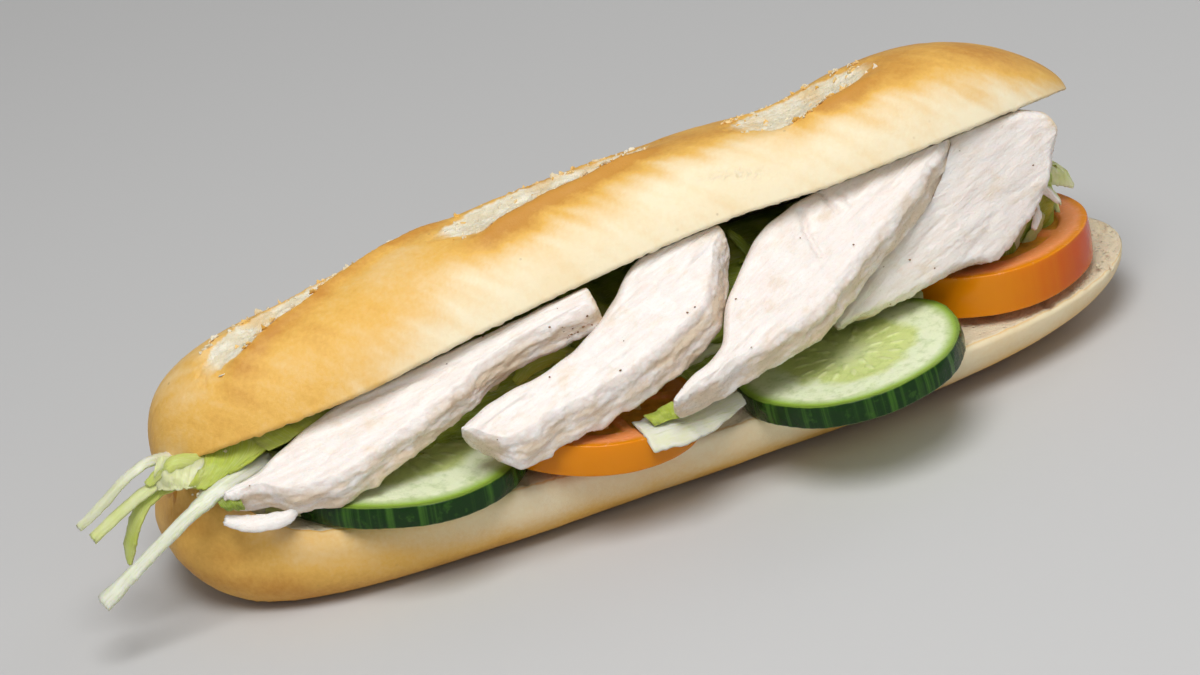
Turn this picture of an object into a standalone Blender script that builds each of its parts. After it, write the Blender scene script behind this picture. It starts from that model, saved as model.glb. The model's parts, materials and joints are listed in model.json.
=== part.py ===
"""Submarine sandwich: a split bread roll filled with sliced chicken, cucumber, tomato and shredded lettuce.

Metres, +Z up. X runs along the roll, the open side faces -Y and z = 0 is the flat patch it rests on.
"""
import math
import random

import bmesh
import bpy
from mathutils import Matrix, Vector, noise

MM = 0.001
CLEARANCE = 0.30                     # air between two pieces that touch, in mm

# Bread roll, in mm
ROLL_HALF_LENGTH = 112.0
ROLL_HALF_DEPTH = 30.0
ROLL_BOW = 4.5                       # both ends curve back by this much
BASE_LEFT_STRETCH = 2.8              # the belly swells a little past the rim on the left
BASE_LEFT_PULL = 5.0                 # and the rim falls short by this much
BELLY_DROP = 20.0                    # height over which the rim's length turns into the belly's
PLAN_ROUNDING = (5.4, 4.4)           # left and right end, larger is blunter
BASE_THICKNESS = ((-1.0, 31.2), (-0.96, 30.8), (-0.93, 29.6), (-0.9, 27.2), (-0.86, 23.2), (-0.8, 20.0),
                  (-0.7, 18.3), (-0.5, 17.3), (0.0, 15.6), (0.5, 14.6), (1.0, 13.8))
HINGE_FOOT = 20.5                    # the uncut crust starts at this height inside the left end
BASE_END_RISE = (14.5, 2.9)          # left and right end, smaller starts to rise sooner
BASE_FULLNESS = ((-1.0, 0.50), (-0.6, 0.60), (0.0, 0.80), (0.4, 0.86), (1.0, 0.86))  # smaller is fuller
BASE_FLATTENING = 1.3                # the belly is pressed flat by this much
LID_HALF_LENGTH = 107.5
LID_HALF_DEPTH = 28.0
LID_HEIGHT = ((-1.0, 23.0), (-0.8, 24.2), (-0.62, 25.0), (-0.44, 25.6), (-0.2, 24.4), (0.0, 23.2),
              (0.2, 21.8), (0.4, 21.4), (0.58, 24.2), (0.7, 25.0), (0.8, 24.0), (0.9, 21.4), (1.0, 17.0))
LID_END_ROUNDING = (11.0, 5.0)
LID_CUT_WAVE = ((-1.0, 0.0), (-0.64, -1.7), (-0.35, 0.3), (0.0, 1.9), (0.2, 1.9), (0.42, 0.0), (1.0, -0.4))
LID_CENTRE = (-2.5, 3.0, 40.8)
LID_TILT = 28.3                      # degrees, the front edge is lifted
LID_PITCH = 5.8                      # degrees, the right end is lifted
CRUMB_SAG = 0.8
HINGE_WALL = 6.0                     # uncut crust left along the back of the left end
HINGE_REACH = -0.16                  # where the uncut crust runs out, as a share of the half length
# Each slash: left end and right end in the lid's plan, half width
SLASHES = (((-94.0, -14.0), (-28.0, 1.5), 5.2),
           ((-38.0, -15.0), (18.0, -6.0), 6.5),
           ((29.0, -16.0), (69.0, -9.0), 7.0))
SLASH_DEPTH = 1.9
SLASH_LIP = 1.3

# Chicken slices, in mm: start of the spine, its direction, the direction that the broad face looks in, the
# edges as (distance along the spine, distance across), and how far the face's lower edge is rounded back
CHICKEN = (
    dict(name="chicken_slice_1", thickness=8.4, crest=1.6, seed=3,
         start=(-101.3, -21.9, 30.6), along=(0.9745, -0.0486, 0.2189), facing=(-0.2126, -0.5112, 0.8328),
         upper=((1.0, 4.0), (6.7, 4.6), (15.8, 7.2), (25.4, 9.4), (34.0, 10.2), (44.0, 9.6), (64.0, 8.8),
                (76.0, 8.2), (87.0, 7.6)),
         lower=((1.0, 0.6), (8.0, -1.6), (12.2, -5.6), (20.2, -8.3), (27.0, -8.6), (38.3, -6.3), (50.3, -4.0),
                (65.0, 0.0), (76.0, 0.0), (87.0, -0.4))),
    dict(name="chicken_slice_2", thickness=9.6, crest=3.4, seed=11,
         start=(-48.6, -34.4, 36.1), along=(0.9513, 0.1700, 0.2572), facing=(-0.1105, -0.5908, 0.7992),
         upper=((-2.5, 3.4), (0.0, 4.6), (8.5, 4.3), (21.8, 2.4), (34.6, 4.4), (40.0, 6.8), (49.7, 10.6),
                (60.0, 9.6), (67.5, 7.4)),
         lower=((-2.5, 0.6), (2.5, -9.4), (14.8, -11.3), (27.2, -13.4), (41.5, -13.4), (53.7, -11.5),
                (62.0, -4.6), (67.5, 0.6))),
    dict(name="chicken_slice_3", thickness=9.4, crest=1.6, seed=23,
         start=(-5.5, -42.1, 32.8), along=(0.9020, 0.3025, 0.3080), facing=(-0.0910, -0.5642, 0.8206),
         upper=((-3.0, 2.2), (2.0, 3.4), (12.8, 3.6), (21.2, 9.4), (28.8, 12.6), (37.5, 15.6), (47.0, 15.4),
                (56.6, 13.2), (71.2, 8.6), (82.5, 4.6)),
         lower=((-3.0, -0.4), (9.4, -3.6), (23.7, -7.3), (32.6, -8.8), (44.9, -7.4), (59.5, -5.9), (73.7, -3.6),
                (82.5, -1.6))),
    dict(name="chicken_slice_4", thickness=9.0, crest=1.2, seed=31,
         start=(40.1, -24.7, 31.0), along=(0.9364, 0.1417, 0.3210), facing=(0.0507, -0.9598, 0.2760),
         upper=((-6.0, 1.6), (4.9, 4.0), (18.4, 8.0), (29.4, 12.6), (38.6, 16.6), (48.0, 13.4), (53.0, 11.0),
                (58.2, 7.4)),
         lower=((-6.0, -3.6), (12.3, -7.6), (22.9, -9.7), (31.7, -13.2), (38.0, -12.4), (44.0, -10.4),
                (50.0, -7.4), (55.0, -2.6), (58.2, 0.0))),
)

# Round slices, in mm: centre of the slice, two half widths, thickness, how it leans
CUCUMBER = (
    dict(name="cucumber_slice_1", centre=(-60.8, -6.2, 20.9), half=(30.0, 27.0), thickness=5.0,
         facing=(0.045, 0.02, 1.0)),
    dict(name="cucumber_slice_2", centre=(35.2, -27.5, 20.0), half=(24.4, 24.4), thickness=5.2,
         facing=(-0.075, 0.085, 1.0)),
)
TOMATO = (
    dict(name="tomato_slice_1", centre=(-19.5, -17.0, 20.9), half=(22.0, 22.0), thickness=7.0, turn=0.5,
         facing=(0.13, 0.02, 1.0)),
    dict(name="tomato_slice_2", centre=(78.8, 0.3, 20.6), half=(23.5, 23.5), thickness=9.6, turn=1.1,
         facing=(0.0, 0.05, 1.0)),
)
TOMATO_WALL = 0.24                   # width of the firm outer ring as a share of the radius
TOMATO_POCKETS = 5
TOMATO_POCKET_DEPTH = 1.3

# Strips of lettuce that stick out of the heap, in mm: points along the strip, width, thickness
STRIPS = (
    (((-80, -8, 24), (-94, -8, 28.5), (-104, -8.2, 34.6), (-113.8, -8.2, 37.4), (-130, -5, 27.6)), 3.2, 1.2, 0.4),
    (((-84, -9, 27), (-97, -10, 31.5), (-108.5, -9.3, 34.6), (-116, -8.6, 32.6), (-127.4, -7, 25.4)), 4.2, 1.2, 0.4),
    (((-84, -8, 26), (-96, -8, 31), (-109, -8.2, 33.4), (-116.5, -7.8, 29), (-121.6, -6.5, 17.0)), 4.8, 1.1, 0.4),
    (((-88, -6, 29.5), (-98.4, -13, 33), (-105, -17, 31.2), (-117, -18.5, 23.8), (-131, -18.5, 17.0)), 4.3, 2.2, 0.2),
    (((-84, -8, 33), (-93, -12, 34.6), (-101, -13, 34.2), (-109, -11, 35.0)), (6.0, 7.0, 7.0, 5.0), 1.2, 0.9),
    (((-76, -8, 35), (-84, -13, 36), (-91, -15, 34.5), (-96, -16, 32.0)), (6.0, 8.0, 8.0, 4.0), 1.2, 0.9),
    (((84, 3, 36), (95, 3, 35.5), (101.2, 2, 32.2), (102.8, 1, 28.8)), (5.0, 6.0, 5.0, 2.5), 1.0, 0.6),
)
FRONT_LEAF = (((-15.5, -37.0, 24.8), (-8.0, -36.0, 24.0), (0.0, -34.0, 23.2), (9.0, -31.0, 22.2)),
              (10.0, 11.5, 8.0, 3.0), 0.9, -0.45)
CHICKEN_FLAP = (((-101.5, -19.5, 26.2), (-97.0, -21.8, 25.1), (-90.5, -23.8, 24.9)), (3.0, 5.6, 4.0), 1.8, -0.9)
HEAP_SHREDS = 11

# Colour (linear red, green, blue) and roughness of each food
LOOKS = {
    "bread": ((0.80, 0.58, 0.30), 0.62),
    "chicken": ((0.90, 0.82, 0.74), 0.48),
    "cucumber": ((0.45, 0.52, 0.17), 0.30),
    "tomato": ((0.62, 0.13, 0.02), 0.25),
    "lettuce": ((0.50, 0.60, 0.22), 0.42),
}
SMOOTH_ANGLE = 35.0                  # degrees, edges sharper than this stay crisp


def smooth(points, x):
    """A soft curve through a few (position, value) pairs."""
    if x <= points[0][0]:
        return points[0][1]
    if x >= points[-1][0]:
        return points[-1][1]
    slopes = []
    for i, p in enumerate(points):
        a = points[max(i - 1, 0)]
        b = points[min(i + 1, len(points) - 1)]
        slopes.append((b[1] - a[1]) / (b[0] - a[0]))
    for i in range(len(points) - 1):
        (x0, y0), (x1, y1) = points[i], points[i + 1]
        if x <= x1:
            w = x1 - x0
            t = (x - x0) / w
            return ((2 * t ** 3 - 3 * t ** 2 + 1) * y0 + (t ** 3 - 2 * t ** 2 + t) * w * slopes[i]
                    + (-2 * t ** 3 + 3 * t ** 2) * y1 + (t ** 3 - t ** 2) * w * slopes[i + 1])
    return points[-1][1]


def ease(t):
    t = min(max(t, 0.0), 1.0)
    return t * t * (3.0 - 2.0 * t)


def power(value, exponent):
    return math.copysign(abs(value) ** exponent, value)


def finish_mesh(name, bm, keep_largest=True):
    """Closed, triangulated, facing out; anything that came loose is dropped."""
    bmesh.ops.remove_doubles(bm, verts=bm.verts, dist=2e-6)
    bmesh.ops.dissolve_degenerate(bm, edges=bm.edges, dist=1e-6)
    if keep_largest:
        bm.verts.ensure_lookup_table()
        seen, islands = set(), []
        for v in bm.verts:
            if v in seen:
                continue
            stack, island = [v], []
            seen.add(v)
            while stack:
                w = stack.pop()
                island.append(w)
                for e in w.link_edges:
                    o = e.other_vert(w)
                    if o not in seen:
                        seen.add(o)
                        stack.append(o)
            islands.append(island)
        islands.sort(key=len, reverse=True)
        loose = [v for island in islands[1:] for v in island]
        if loose:
            bmesh.ops.delete(bm, geom=loose, context="VERTS")
    bmesh.ops.triangulate(bm, faces=[f for f in bm.faces if len(f.verts) > 3])
    bmesh.ops.recalc_face_normals(bm, faces=bm.faces)
    if bm.calc_volume(signed=True) < 0:
        bmesh.ops.reverse_faces(bm, faces=bm.faces)
    mesh = bpy.data.meshes.new(name)
    bm.to_mesh(mesh)
    bm.free()
    return mesh


def add_object(name, mesh):
    obj = bpy.data.objects.new(name, mesh)
    bpy.context.scene.collection.objects.link(obj)
    return obj


def loft(name, rings, poles=(None, None)):
    """A closed skin over rings of points, with a flat cap or a single pole at each end; points in mm."""
    bm = bmesh.new()
    rows = [[bm.verts.new(Vector(p) * MM) for p in ring] for ring in rings]
    count = len(rows[0])
    for a, b in zip(rows, rows[1:]):
        for i in range(count):
            j = (i + 1) % count
            bm.faces.new((a[i], a[j], b[j]))
            bm.faces.new((a[i], b[j], b[i]))
    for row, pole in ((rows[0], poles[0]), (rows[-1], poles[1])):
        centre = Vector(pole) * MM if pole is not None else sum((v.co for v in row), Vector()) / count
        tip = bm.verts.new(centre)
        for i in range(count):
            bm.faces.new((row[i], row[(i + 1) % count], tip))
    return add_object(name, finish_mesh(name, bm, keep_largest=False))


def combine(target, other, operation):
    """Joins or carves the target with another solid and removes that solid."""
    before = len(target.data.polygons)
    mod = target.modifiers.new("combine", "BOOLEAN")
    mod.operation = operation
    mod.object = other
    mod.solver = "MANIFOLD"
    bpy.context.view_layer.update()
    depsgraph = bpy.context.evaluated_depsgraph_get()
    mesh = bpy.data.meshes.new_from_object(target.evaluated_get(depsgraph))
    target.modifiers.remove(mod)
    bm = bmesh.new()
    bm.from_mesh(mesh)
    bpy.data.meshes.remove(mesh)
    if len(bm.faces) < 4 and before:
        bm.free()
    else:
        old = target.data
        target.data = finish_mesh(target.name, bm)
        bpy.data.meshes.remove(old)
    drop(other)


def tidy(obj):
    """Merges the slivers that carving leaves on nearly flat places."""
    bm = bmesh.new()
    bm.from_mesh(obj.data)
    bmesh.ops.dissolve_limit(bm, angle_limit=math.radians(4.0), verts=bm.verts, edges=bm.edges)
    old = obj.data
    obj.data = finish_mesh(obj.name, bm)
    bpy.data.meshes.remove(old)


def drop(obj):
    mesh = obj.data
    bpy.data.objects.remove(obj)
    bpy.data.meshes.remove(mesh)


def plan_share(u):
    """How much of the full depth is left at a share of the half length."""
    return math.sqrt(max(1.0 - abs(u) ** PLAN_ROUNDING[0 if u < 0 else 1], 0.0))


def stations(count):
    return [-math.cos(math.pi * i / count) * 0.999 for i in range(1, count)]


def base_rim(u):
    return smooth(BASE_THICKNESS, u)


def base_axis(u):
    return ROLL_BOW * u * u


def base_x(u, share=0.0):
    """Place along the roll; the share is 0 at the rim and 1 under the belly."""
    pull = BASE_LEFT_PULL * (1.0 - share) - BASE_LEFT_STRETCH * share
    return ROLL_HALF_LENGTH * u + pull * max(-u, 0.0) ** 4


def base_half(name, grow=0.0, along=38, around=14, flat=4):
    """The lower half: a belly with a flat patch under it and a cut face on top."""
    rings = []
    for u in stations(along):
        rim, depth = base_rim(u), base_rim(u)
        depth *= math.sqrt(1.0 - abs(u) ** BASE_END_RISE[0 if u < 0 else 1])
        half = ROLL_HALF_DEPTH * plan_share(u) + grow
        full = depth + BASE_FLATTENING * plan_share(u) + grow
        ring = []
        for i in range(around + 1):
            t = math.pi * i / around
            below = full * power(math.sin(t), smooth(BASE_FULLNESS, u) - 0.1)
            x = base_x(u, ease(below / BELLY_DROP)) + grow * u
            y = base_axis(u) - half * power(math.cos(t), smooth(BASE_FULLNESS, u))
            z = rim + grow - below
            bump = 0.35 * noise.noise(Vector((x, y, z)) * 0.06) * math.sin(t)
            ring.append((x, y, max(z + bump, -grow)))
        for i in range(1, flat):
            v = 1.0 - 2.0 * i / flat
            y = base_axis(u) + half * v
            z = rim + grow - CRUMB_SAG * (1.0 - v * v) * plan_share(u)
            ring.append((base_x(u) + grow * u, y, z))
        rings.append(ring)
    left = (base_x(-1) - grow, base_axis(-1), base_rim(-1.0) - 0.6)
    right = (base_x(1) + grow, base_axis(1), base_rim(1.0) - 0.6)
    return loft(name, rings, (left, right))


def lid_frame():
    turn = Matrix.Rotation(-math.radians(LID_PITCH), 4, "Y") @ Matrix.Rotation(-math.radians(LID_TILT), 4, "X")
    return Matrix.Translation(Vector(LID_CENTRE)) @ turn


def slash_relief(x, y):
    """Depth of the baker's cuts: a torn trough with a raised lip on its front side."""
    total = 0.0
    for (x0, y0), (x1, y1), half in SLASHES:
        run = math.hypot(x1 - x0, y1 - y0)
        dx, dy = (x1 - x0) / run, (y1 - y0) / run
        s = (x - x0) * dx + (y - y0) * dy
        a = -(x - x0) * dy + (y - y0) * dx
        a += 1.2 * noise.noise(Vector((x * 0.11, y * 0.05, half)))
        ends = ease(s / 9.0) * ease((run - s) / 14.0)
        if ends <= 0.0:
            continue
        if abs(a) < half:
            total -= SLASH_DEPTH * ends * (1.0 - (a / half) ** 2) ** 1.2
        total += SLASH_LIP * ends * math.exp(-((a + half * 1.15) / 1.7) ** 2)
    return total


def lid_size(u):
    half = LID_HALF_DEPTH * plan_share(u)
    ends = math.sqrt(max(1.0 - abs(u) ** LID_END_ROUNDING[0 if u < 0 else 1], 0.0))
    return half, smooth(LID_HEIGHT, u) * ends


def lid_half(name, grow=0.0, along=60, around=20, flat=4):
    """The upper half: a dome with three slashes over a cut face, tilted open."""
    frame = lid_frame()
    rings = []
    for u in stations(along):
        half, height = lid_size(u)
        wave = smooth(LID_CUT_WAVE, u)
        x = (LID_HALF_LENGTH + grow) * u
        ring = []
        for i in range(around + 1):
            t = math.pi * i / around
            c, s = power(math.cos(t), 0.9), power(math.sin(t), 0.84)
            y = base_axis(u) * 0.5 - (half + grow) * c
            z = wave - grow + (height + 2 * grow) * s
            relief = slash_relief(x, y) * min(height / 12.0, 1.0)
            relief += 0.45 * noise.noise(Vector((x * 0.05, y * 0.09, 3.7)))
            relief *= math.sin(t)
            ring.append(frame @ Vector((x, y - relief * c, z + relief * s)))
        for i in range(1, flat):
            v = 1.0 - 2.0 * i / flat
            y = base_axis(u) * 0.5 + (half + grow) * v
            ring.append(frame @ Vector((x, y, wave - grow + CRUMB_SAG * (1.0 - v * v) * plan_share(u))))
        rings.append(ring)
    ends = [frame @ Vector(((LID_HALF_LENGTH + grow) * e, base_axis(e) * 0.5, 0.5)) for e in (-1, 1)]
    return loft(name, rings, ends)


def hinge_wall(name, grow=0.0):
    """The crust that was left uncut: it joins both halves round the left end and along the back."""
    frame = lid_frame()
    path = [(-0.992, -1), (-0.998, -1), (-0.998, 1), (-0.99, 1), (-0.97, 1)]
    steps = 14
    path += [(-0.94 + (HINGE_REACH + 0.94) * i / steps, 1) for i in range(steps + 1)]
    rings = []
    for k, (u, side) in enumerate(path):
        half = ROLL_HALF_DEPTH * plan_share(u)
        low = Vector((base_x(u), base_axis(u) + side * half, min(base_rim(u), HINGE_FOOT)))
        lid_depth, lid_height = lid_size(u)
        high = frame @ Vector((LID_HALF_LENGTH * u, base_axis(u) * 0.5 + side * lid_depth, smooth(LID_CUT_WAVE, u)))
        rise = Vector((0.0, 0.0, 1.0))
        out = Vector((-1.0 if u < -0.9 else 0.0, side * (0.2 + 0.8 * min((1.0 + u) * 8.0, 1.0)), 0.0)).normalized()
        torn = ease((len(path) - 1 - k) / 4.0)
        wall = HINGE_WALL * (0.35 + 0.65 * torn)
        end = Vector((grow, -1.5 * grow, 0.0)) if k == 0 else Vector((grow * (k == len(path) - 1), 0.0, 0.0))
        ring = []
        for inner in (False, True):
            for share in ((1.0, 0.7, 0.3, 0.0) if inner else (0.0, 0.3, 0.7, 1.0)):
                p = low.lerp(high, share)
                if inner:
                    p -= out * (wall + 0.9 + grow)
                else:
                    p += out * (1.2 * math.sin(math.pi * share) - 0.9 + grow)
                if share == 0.0:
                    p -= rise * (2.6 + grow)
                elif share == 1.0:
                    p += rise * (2.6 + grow + (0.45 * wall if inner else 0.0))
                    p -= out * (0.0 if inner else 1.4)
                elif k == len(path) - 1:
                    p.x -= 5.0
                p += end
                ring.append(p)
        rings.append(ring)
    return loft(name, rings)


def bread_roll(name, grow=0.0):
    roll = base_half(name, grow)
    combine(roll, hinge_wall(name + "_hinge", grow), "UNION")
    combine(roll, lid_half(name + "_lid", grow), "UNION")
    return roll


def chicken_slice(spec, grow=0.0, count=15):
    """A thick hand-cut slice: a broad face, a rounded lower edge and a flat back, with a coarse grain."""
    along, facing = Vector(spec["along"]).normalized(), Vector(spec["facing"]).normalized()
    facing = (facing - along * facing.dot(along)).normalized()
    across = facing.cross(along)
    start = Vector(spec["start"])
    s0, s1 = spec["upper"][0][0] - grow, spec["upper"][-1][0] + grow
    rings = []
    for k in range(count + 1):
        share = k / count
        s = s0 + (s1 - s0) * (0.5 - 0.5 * math.cos(math.pi * share) * (0.35 + 0.65 * abs(2 * share - 1)))
        ends = math.sqrt(max(1.0 - abs(2 * share - 1) ** 7, 0.0))
        up = smooth(spec["upper"], s) + grow
        low = smooth(spec["lower"], s) - grow
        rough = noise.noise(Vector((s * 0.16, spec["seed"], 0.0)))
        up, low = up + 0.5 * rough, low + 0.7 * noise.noise(Vector((s * 0.21, 0.0, spec["seed"])))
        mid = 0.5 * (up + low)
        up, low = mid + (up - mid) * (0.55 + 0.45 * ends), mid + (low - mid) * (0.55 + 0.45 * ends)
        thick = spec["thickness"] * (0.62 + 0.38 * ends) * (1.0 + 0.08 * rough)
        round_edge = min(1.6, 0.22 * (up - low))
        crest = low + min(spec["crest"], 0.3 * (up - low))
        profile = [(up, -round_edge * 0.8), (up - round_edge, 0.0)]
        for i in range(1, 5):
            w = up - round_edge + (crest + round_edge - up + round_edge) * i / 5
            profile.append((w, 0.5 * noise.noise(Vector((s * 0.12, w * 0.4, spec["seed"])))))
        profile += [(crest + round_edge, 0.0), (crest, -round_edge), (0.5 * (crest + low), -0.5 * thick),
                    (low, -thick + round_edge), (low + round_edge, -thick),
                    (mid, -thick), (up - round_edge, -thick), (up, -thick + round_edge)]
        ring = []
        for w, h in profile:
            h = h + grow if h > -0.5 * thick else h - grow
            ring.append(start + along * s + across * w + facing * h)
        rings.append(ring)
    return loft(spec["name"], rings)


def disc_frame(spec):
    facing = Vector(spec["facing"]).normalized()
    turn = facing.to_track_quat("Z", "Y").to_matrix().to_4x4()
    return Matrix.Translation(Vector(spec["centre"])) @ turn


def round_slice(spec, grow=0.0, sides=32, pockets=0):
    """A round slice with a softened rim; a tomato also has sunken seed pockets."""
    frame = disc_frame(spec)
    a, b = spec["half"][0] + grow, spec["half"][1] + grow
    half = spec["thickness"] / 2 + grow
    wall = 1.0 - TOMATO_WALL
    if pockets:
        profile = ((0.34, 1), (wall - 0.06, 1), (wall, 1), (0.975, 1), (1.0, 0.82), (1.0, -0.82), (0.975, -1),
                   (0.5, -1))
    else:
        profile = ((0.5, 1), (0.98, 1), (1.0, 0.8), (1.0, -0.8), (0.98, -1), (0.5, -1))
    rings = []
    for r, h in profile:
        ring = []
        for i in range(sides):
            t = 2 * math.pi * i / sides
            wobble = 1.0 + 0.012 * math.sin(3 * t + a) + 0.008 * math.sin(5 * t)
            z = half * h
            if pockets and h > 0 and r < wall - 0.01 and not grow:
                inside = ease(2.2 * (0.5 - abs(((t / (2 * math.pi) * pockets + spec["turn"]) % 1.0) - 0.5)))
                z -= TOMATO_POCKET_DEPTH * inside * (1.0 if r > 0.5 else 0.5)
            ring.append(frame @ Vector((a * r * wobble * math.cos(t), b * r * wobble * math.sin(t), z)))
        rings.append(ring)
    poles = [frame @ Vector((0, 0, half * e)) for e in (1, -1)]
    return loft(spec["name"], rings, poles)


def strip(name, points, widths, thickness, tilt=0.0, steps=3, grow=0.0):
    """A thin wavy ribbon through a few points, turned about its own run by the tilt."""
    pts = [Vector(p) for p in points]
    keys = [[(i, p[k]) for i, p in enumerate(pts)] for k in range(3)]
    if not isinstance(widths, (tuple, list)):
        widths = [widths] * len(pts)
    width_keys = list(enumerate(widths))
    rings = []
    total = (len(pts) - 1) * steps
    for i in range(total + 1):
        s = i / steps
        p = Vector([smooth(keys[k], s) for k in range(3)])
        q = Vector([smooth(keys[k], s + 0.05) - smooth(keys[k], s - 0.05) for k in range(3)])
        along = q.normalized()
        side = along.cross(Vector((0, 0, 1)))
        side = side.normalized() if side.length > 1e-4 else Vector((0, 1, 0))
        turn = tilt + 0.25 * math.sin(1.3 * s + 0.6)
        normal = side.cross(along).normalized()
        side, normal = side * math.cos(turn) + normal * math.sin(turn), \
            normal * math.cos(turn) - side * math.sin(turn)
        w = smooth(width_keys, s) / 2 + grow
        h = thickness / 2 + grow
        sag = 0.18 * w
        left, right = p - side * w - normal * sag, p + side * w - normal * sag
        up = normal * h
        rings.append([left - up, p - up, right - up, right + up, p + up, left + up])
    return loft(name, rings)


def lid_underside(x, y):
    """Height of the lid's cut face above a point of the base, in mm."""
    frame = lid_frame()
    origin = frame.translation
    normal = frame.to_3x3() @ Vector((0, 0, 1))
    local = (x - origin.x) / (LID_HALF_LENGTH * math.cos(math.radians(LID_PITCH)))
    wave = smooth(LID_CUT_WAVE, local)
    return origin.z - (normal.x * (x - origin.x) + normal.y * (y - origin.y)) / normal.z + wave / normal.z


def heap_core(name):
    """The body of the shredded lettuce, between the two cut faces and behind the slices."""
    rings = []
    x0, x1, count, around = -101.0, 96.0, 26, 14
    for k in range(count + 1):
        x = x0 + (x1 - x0) * k / count
        u = x / ROLL_HALF_LENGTH
        ends = math.sqrt(max(1.0 - abs(2.0 * k / count - 1.0) ** 6, 0.0)) * 0.75 + 0.25
        half = ROLL_HALF_DEPTH * plan_share(u)
        wall = HINGE_WALL + 3.0 if u < HINGE_REACH + 0.08 else 3.5
        back = base_axis(u) + (half - wall) * ends
        high = lid_underside(x, back * 0.5) - 1.0
        low = min(base_rim(u) - 0.2, high - 3.0)
        ring = []
        for i in range(around):
            t = 2 * math.pi * i / around
            c, s = power(math.cos(t), 0.6), power(math.sin(t), 0.6)
            mid_z, half_z = 0.5 * (low + high), 0.5 * (high - low) * ends
            z = mid_z + half_z * s
            if u > -0.72:
                depth = 20.0 + 11.0 * ease((z - 22.0) / 22.0)
                front = -(depth - 0.387 * z) / 0.92 * ends
            else:
                front = base_axis(u) - (half - 3.5) * ends
            y = 0.5 * (back + front) + 0.5 * (back - front) * c
            z = min(z, lid_underside(x, y) - 0.7)
            n = noise.noise(Vector((x, y, z)) * 0.13)
            y += 1.3 * n * c
            z += 0.9 * n * s
            ring.append((x, y, z))
        rings.append(ring)
    return loft(name, rings)


def heap_shreds():
    """Cut shreds that stand out of the heap on its back and in the gaps between the slices."""
    rng = random.Random(41)
    shreds = []
    for i in range(HEAP_SHREDS):
        x = -18.0 + 104.0 * (i + 0.5 * rng.random()) / HEAP_SHREDS
        u = x / ROLL_HALF_LENGTH
        y = base_axis(u) + ROLL_HALF_DEPTH * plan_share(u) - 5.0
        low, high = base_rim(u) + 2.0, lid_underside(x, y) - 2.0
        z = low + (high - low) * rng.random()
        reach = rng.uniform(4.0, 8.5)
        lean = rng.uniform(-6.0, 6.0)
        droop = rng.uniform(-2.5, 1.0)
        points = ((x - lean, y - 9.0, z), (x - 0.3 * lean, y - 1.0, z + 0.4), (x + 0.4 * lean, y + 0.45 * reach, z),
                  (x + lean, y + reach, max(z + droop, low)))
        shreds.append((points, rng.uniform(2.6, 4.4), rng.uniform(0.9, 1.3), rng.uniform(-0.6, 0.9), 2))
    return shreds


def paint(obj):
    """Gives a piece the material of its food and soft shading."""
    food = next(name for name in LOOKS if name in obj.name)
    colour, roughness = LOOKS[food]
    material = bpy.data.materials.get(food) or bpy.data.materials.new(food)
    material.use_nodes = True
    shader = material.node_tree.nodes["Principled BSDF"]
    shader.inputs["Base Color"].default_value = (*colour, 1.0)
    shader.inputs["Roughness"].default_value = roughness
    shader.inputs["Metallic"].default_value = 0.0
    material.diffuse_color = (*colour, 1.0)
    obj.data.materials.append(material)
    obj.data.shade_smooth()
    obj.data.set_sharp_from_angle(angle=math.radians(SMOOTH_ANGLE))


def build():
    for obj in list(bpy.data.objects):
        bpy.data.objects.remove(obj)
    bread_roll("bread_roll")
    discs = [(round_slice, spec, {}) for spec in CUCUMBER]
    discs += [(round_slice, spec, {"pockets": TOMATO_POCKETS}) for spec in TOMATO]
    slices = [(chicken_slice, spec, {}) for spec in CHICKEN]
    placed = []
    for make, spec, extra in discs + slices:
        piece = make(spec, **extra)
        if spec is CHICKEN[0]:
            combine(piece, strip("flap", *CHICKEN_FLAP), "UNION")
        combine(piece, bread_roll("cutter", CLEARANCE), "DIFFERENCE")
        for other_make, other, other_extra in placed:
            cutter = other_make(other, CLEARANCE, **other_extra)
            cutter.name = "cutter"
            combine(piece, cutter, "DIFFERENCE")
        placed.append((make, spec, extra))
    leaf = strip("lettuce_leaf", *FRONT_LEAF)
    heap = heap_core("shredded_lettuce")
    for shred in STRIPS + tuple(heap_shreds()):
        combine(heap, strip("shred", *shred), "UNION")
    for piece in (leaf, heap):
        combine(piece, bread_roll("cutter", CLEARANCE), "DIFFERENCE")
        for make, spec, extra in placed:
            cutter = make(spec, CLEARANCE, **extra)
            cutter.name = "cutter"
            combine(piece, cutter, "DIFFERENCE")
        combine(piece, strip("cutter", *CHICKEN_FLAP, grow=CLEARANCE), "DIFFERENCE")
    combine(heap, strip("cutter", *FRONT_LEAF, grow=CLEARANCE), "DIFFERENCE")
    tidy(heap)
    for obj in bpy.data.objects:
        paint(obj)


build()
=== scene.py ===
"""Dressed submarine sandwich, laid out as a Blender add-on.

Lengths in the functions are millimetres in the frame of the solids; meshes are written in metres.
"""
import json
import math
import random

import bmesh
import bpy
from bpy.props import FloatProperty, FloatVectorProperty, IntProperty, PointerProperty
from mathutils import Matrix, Vector, kdtree, noise

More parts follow.
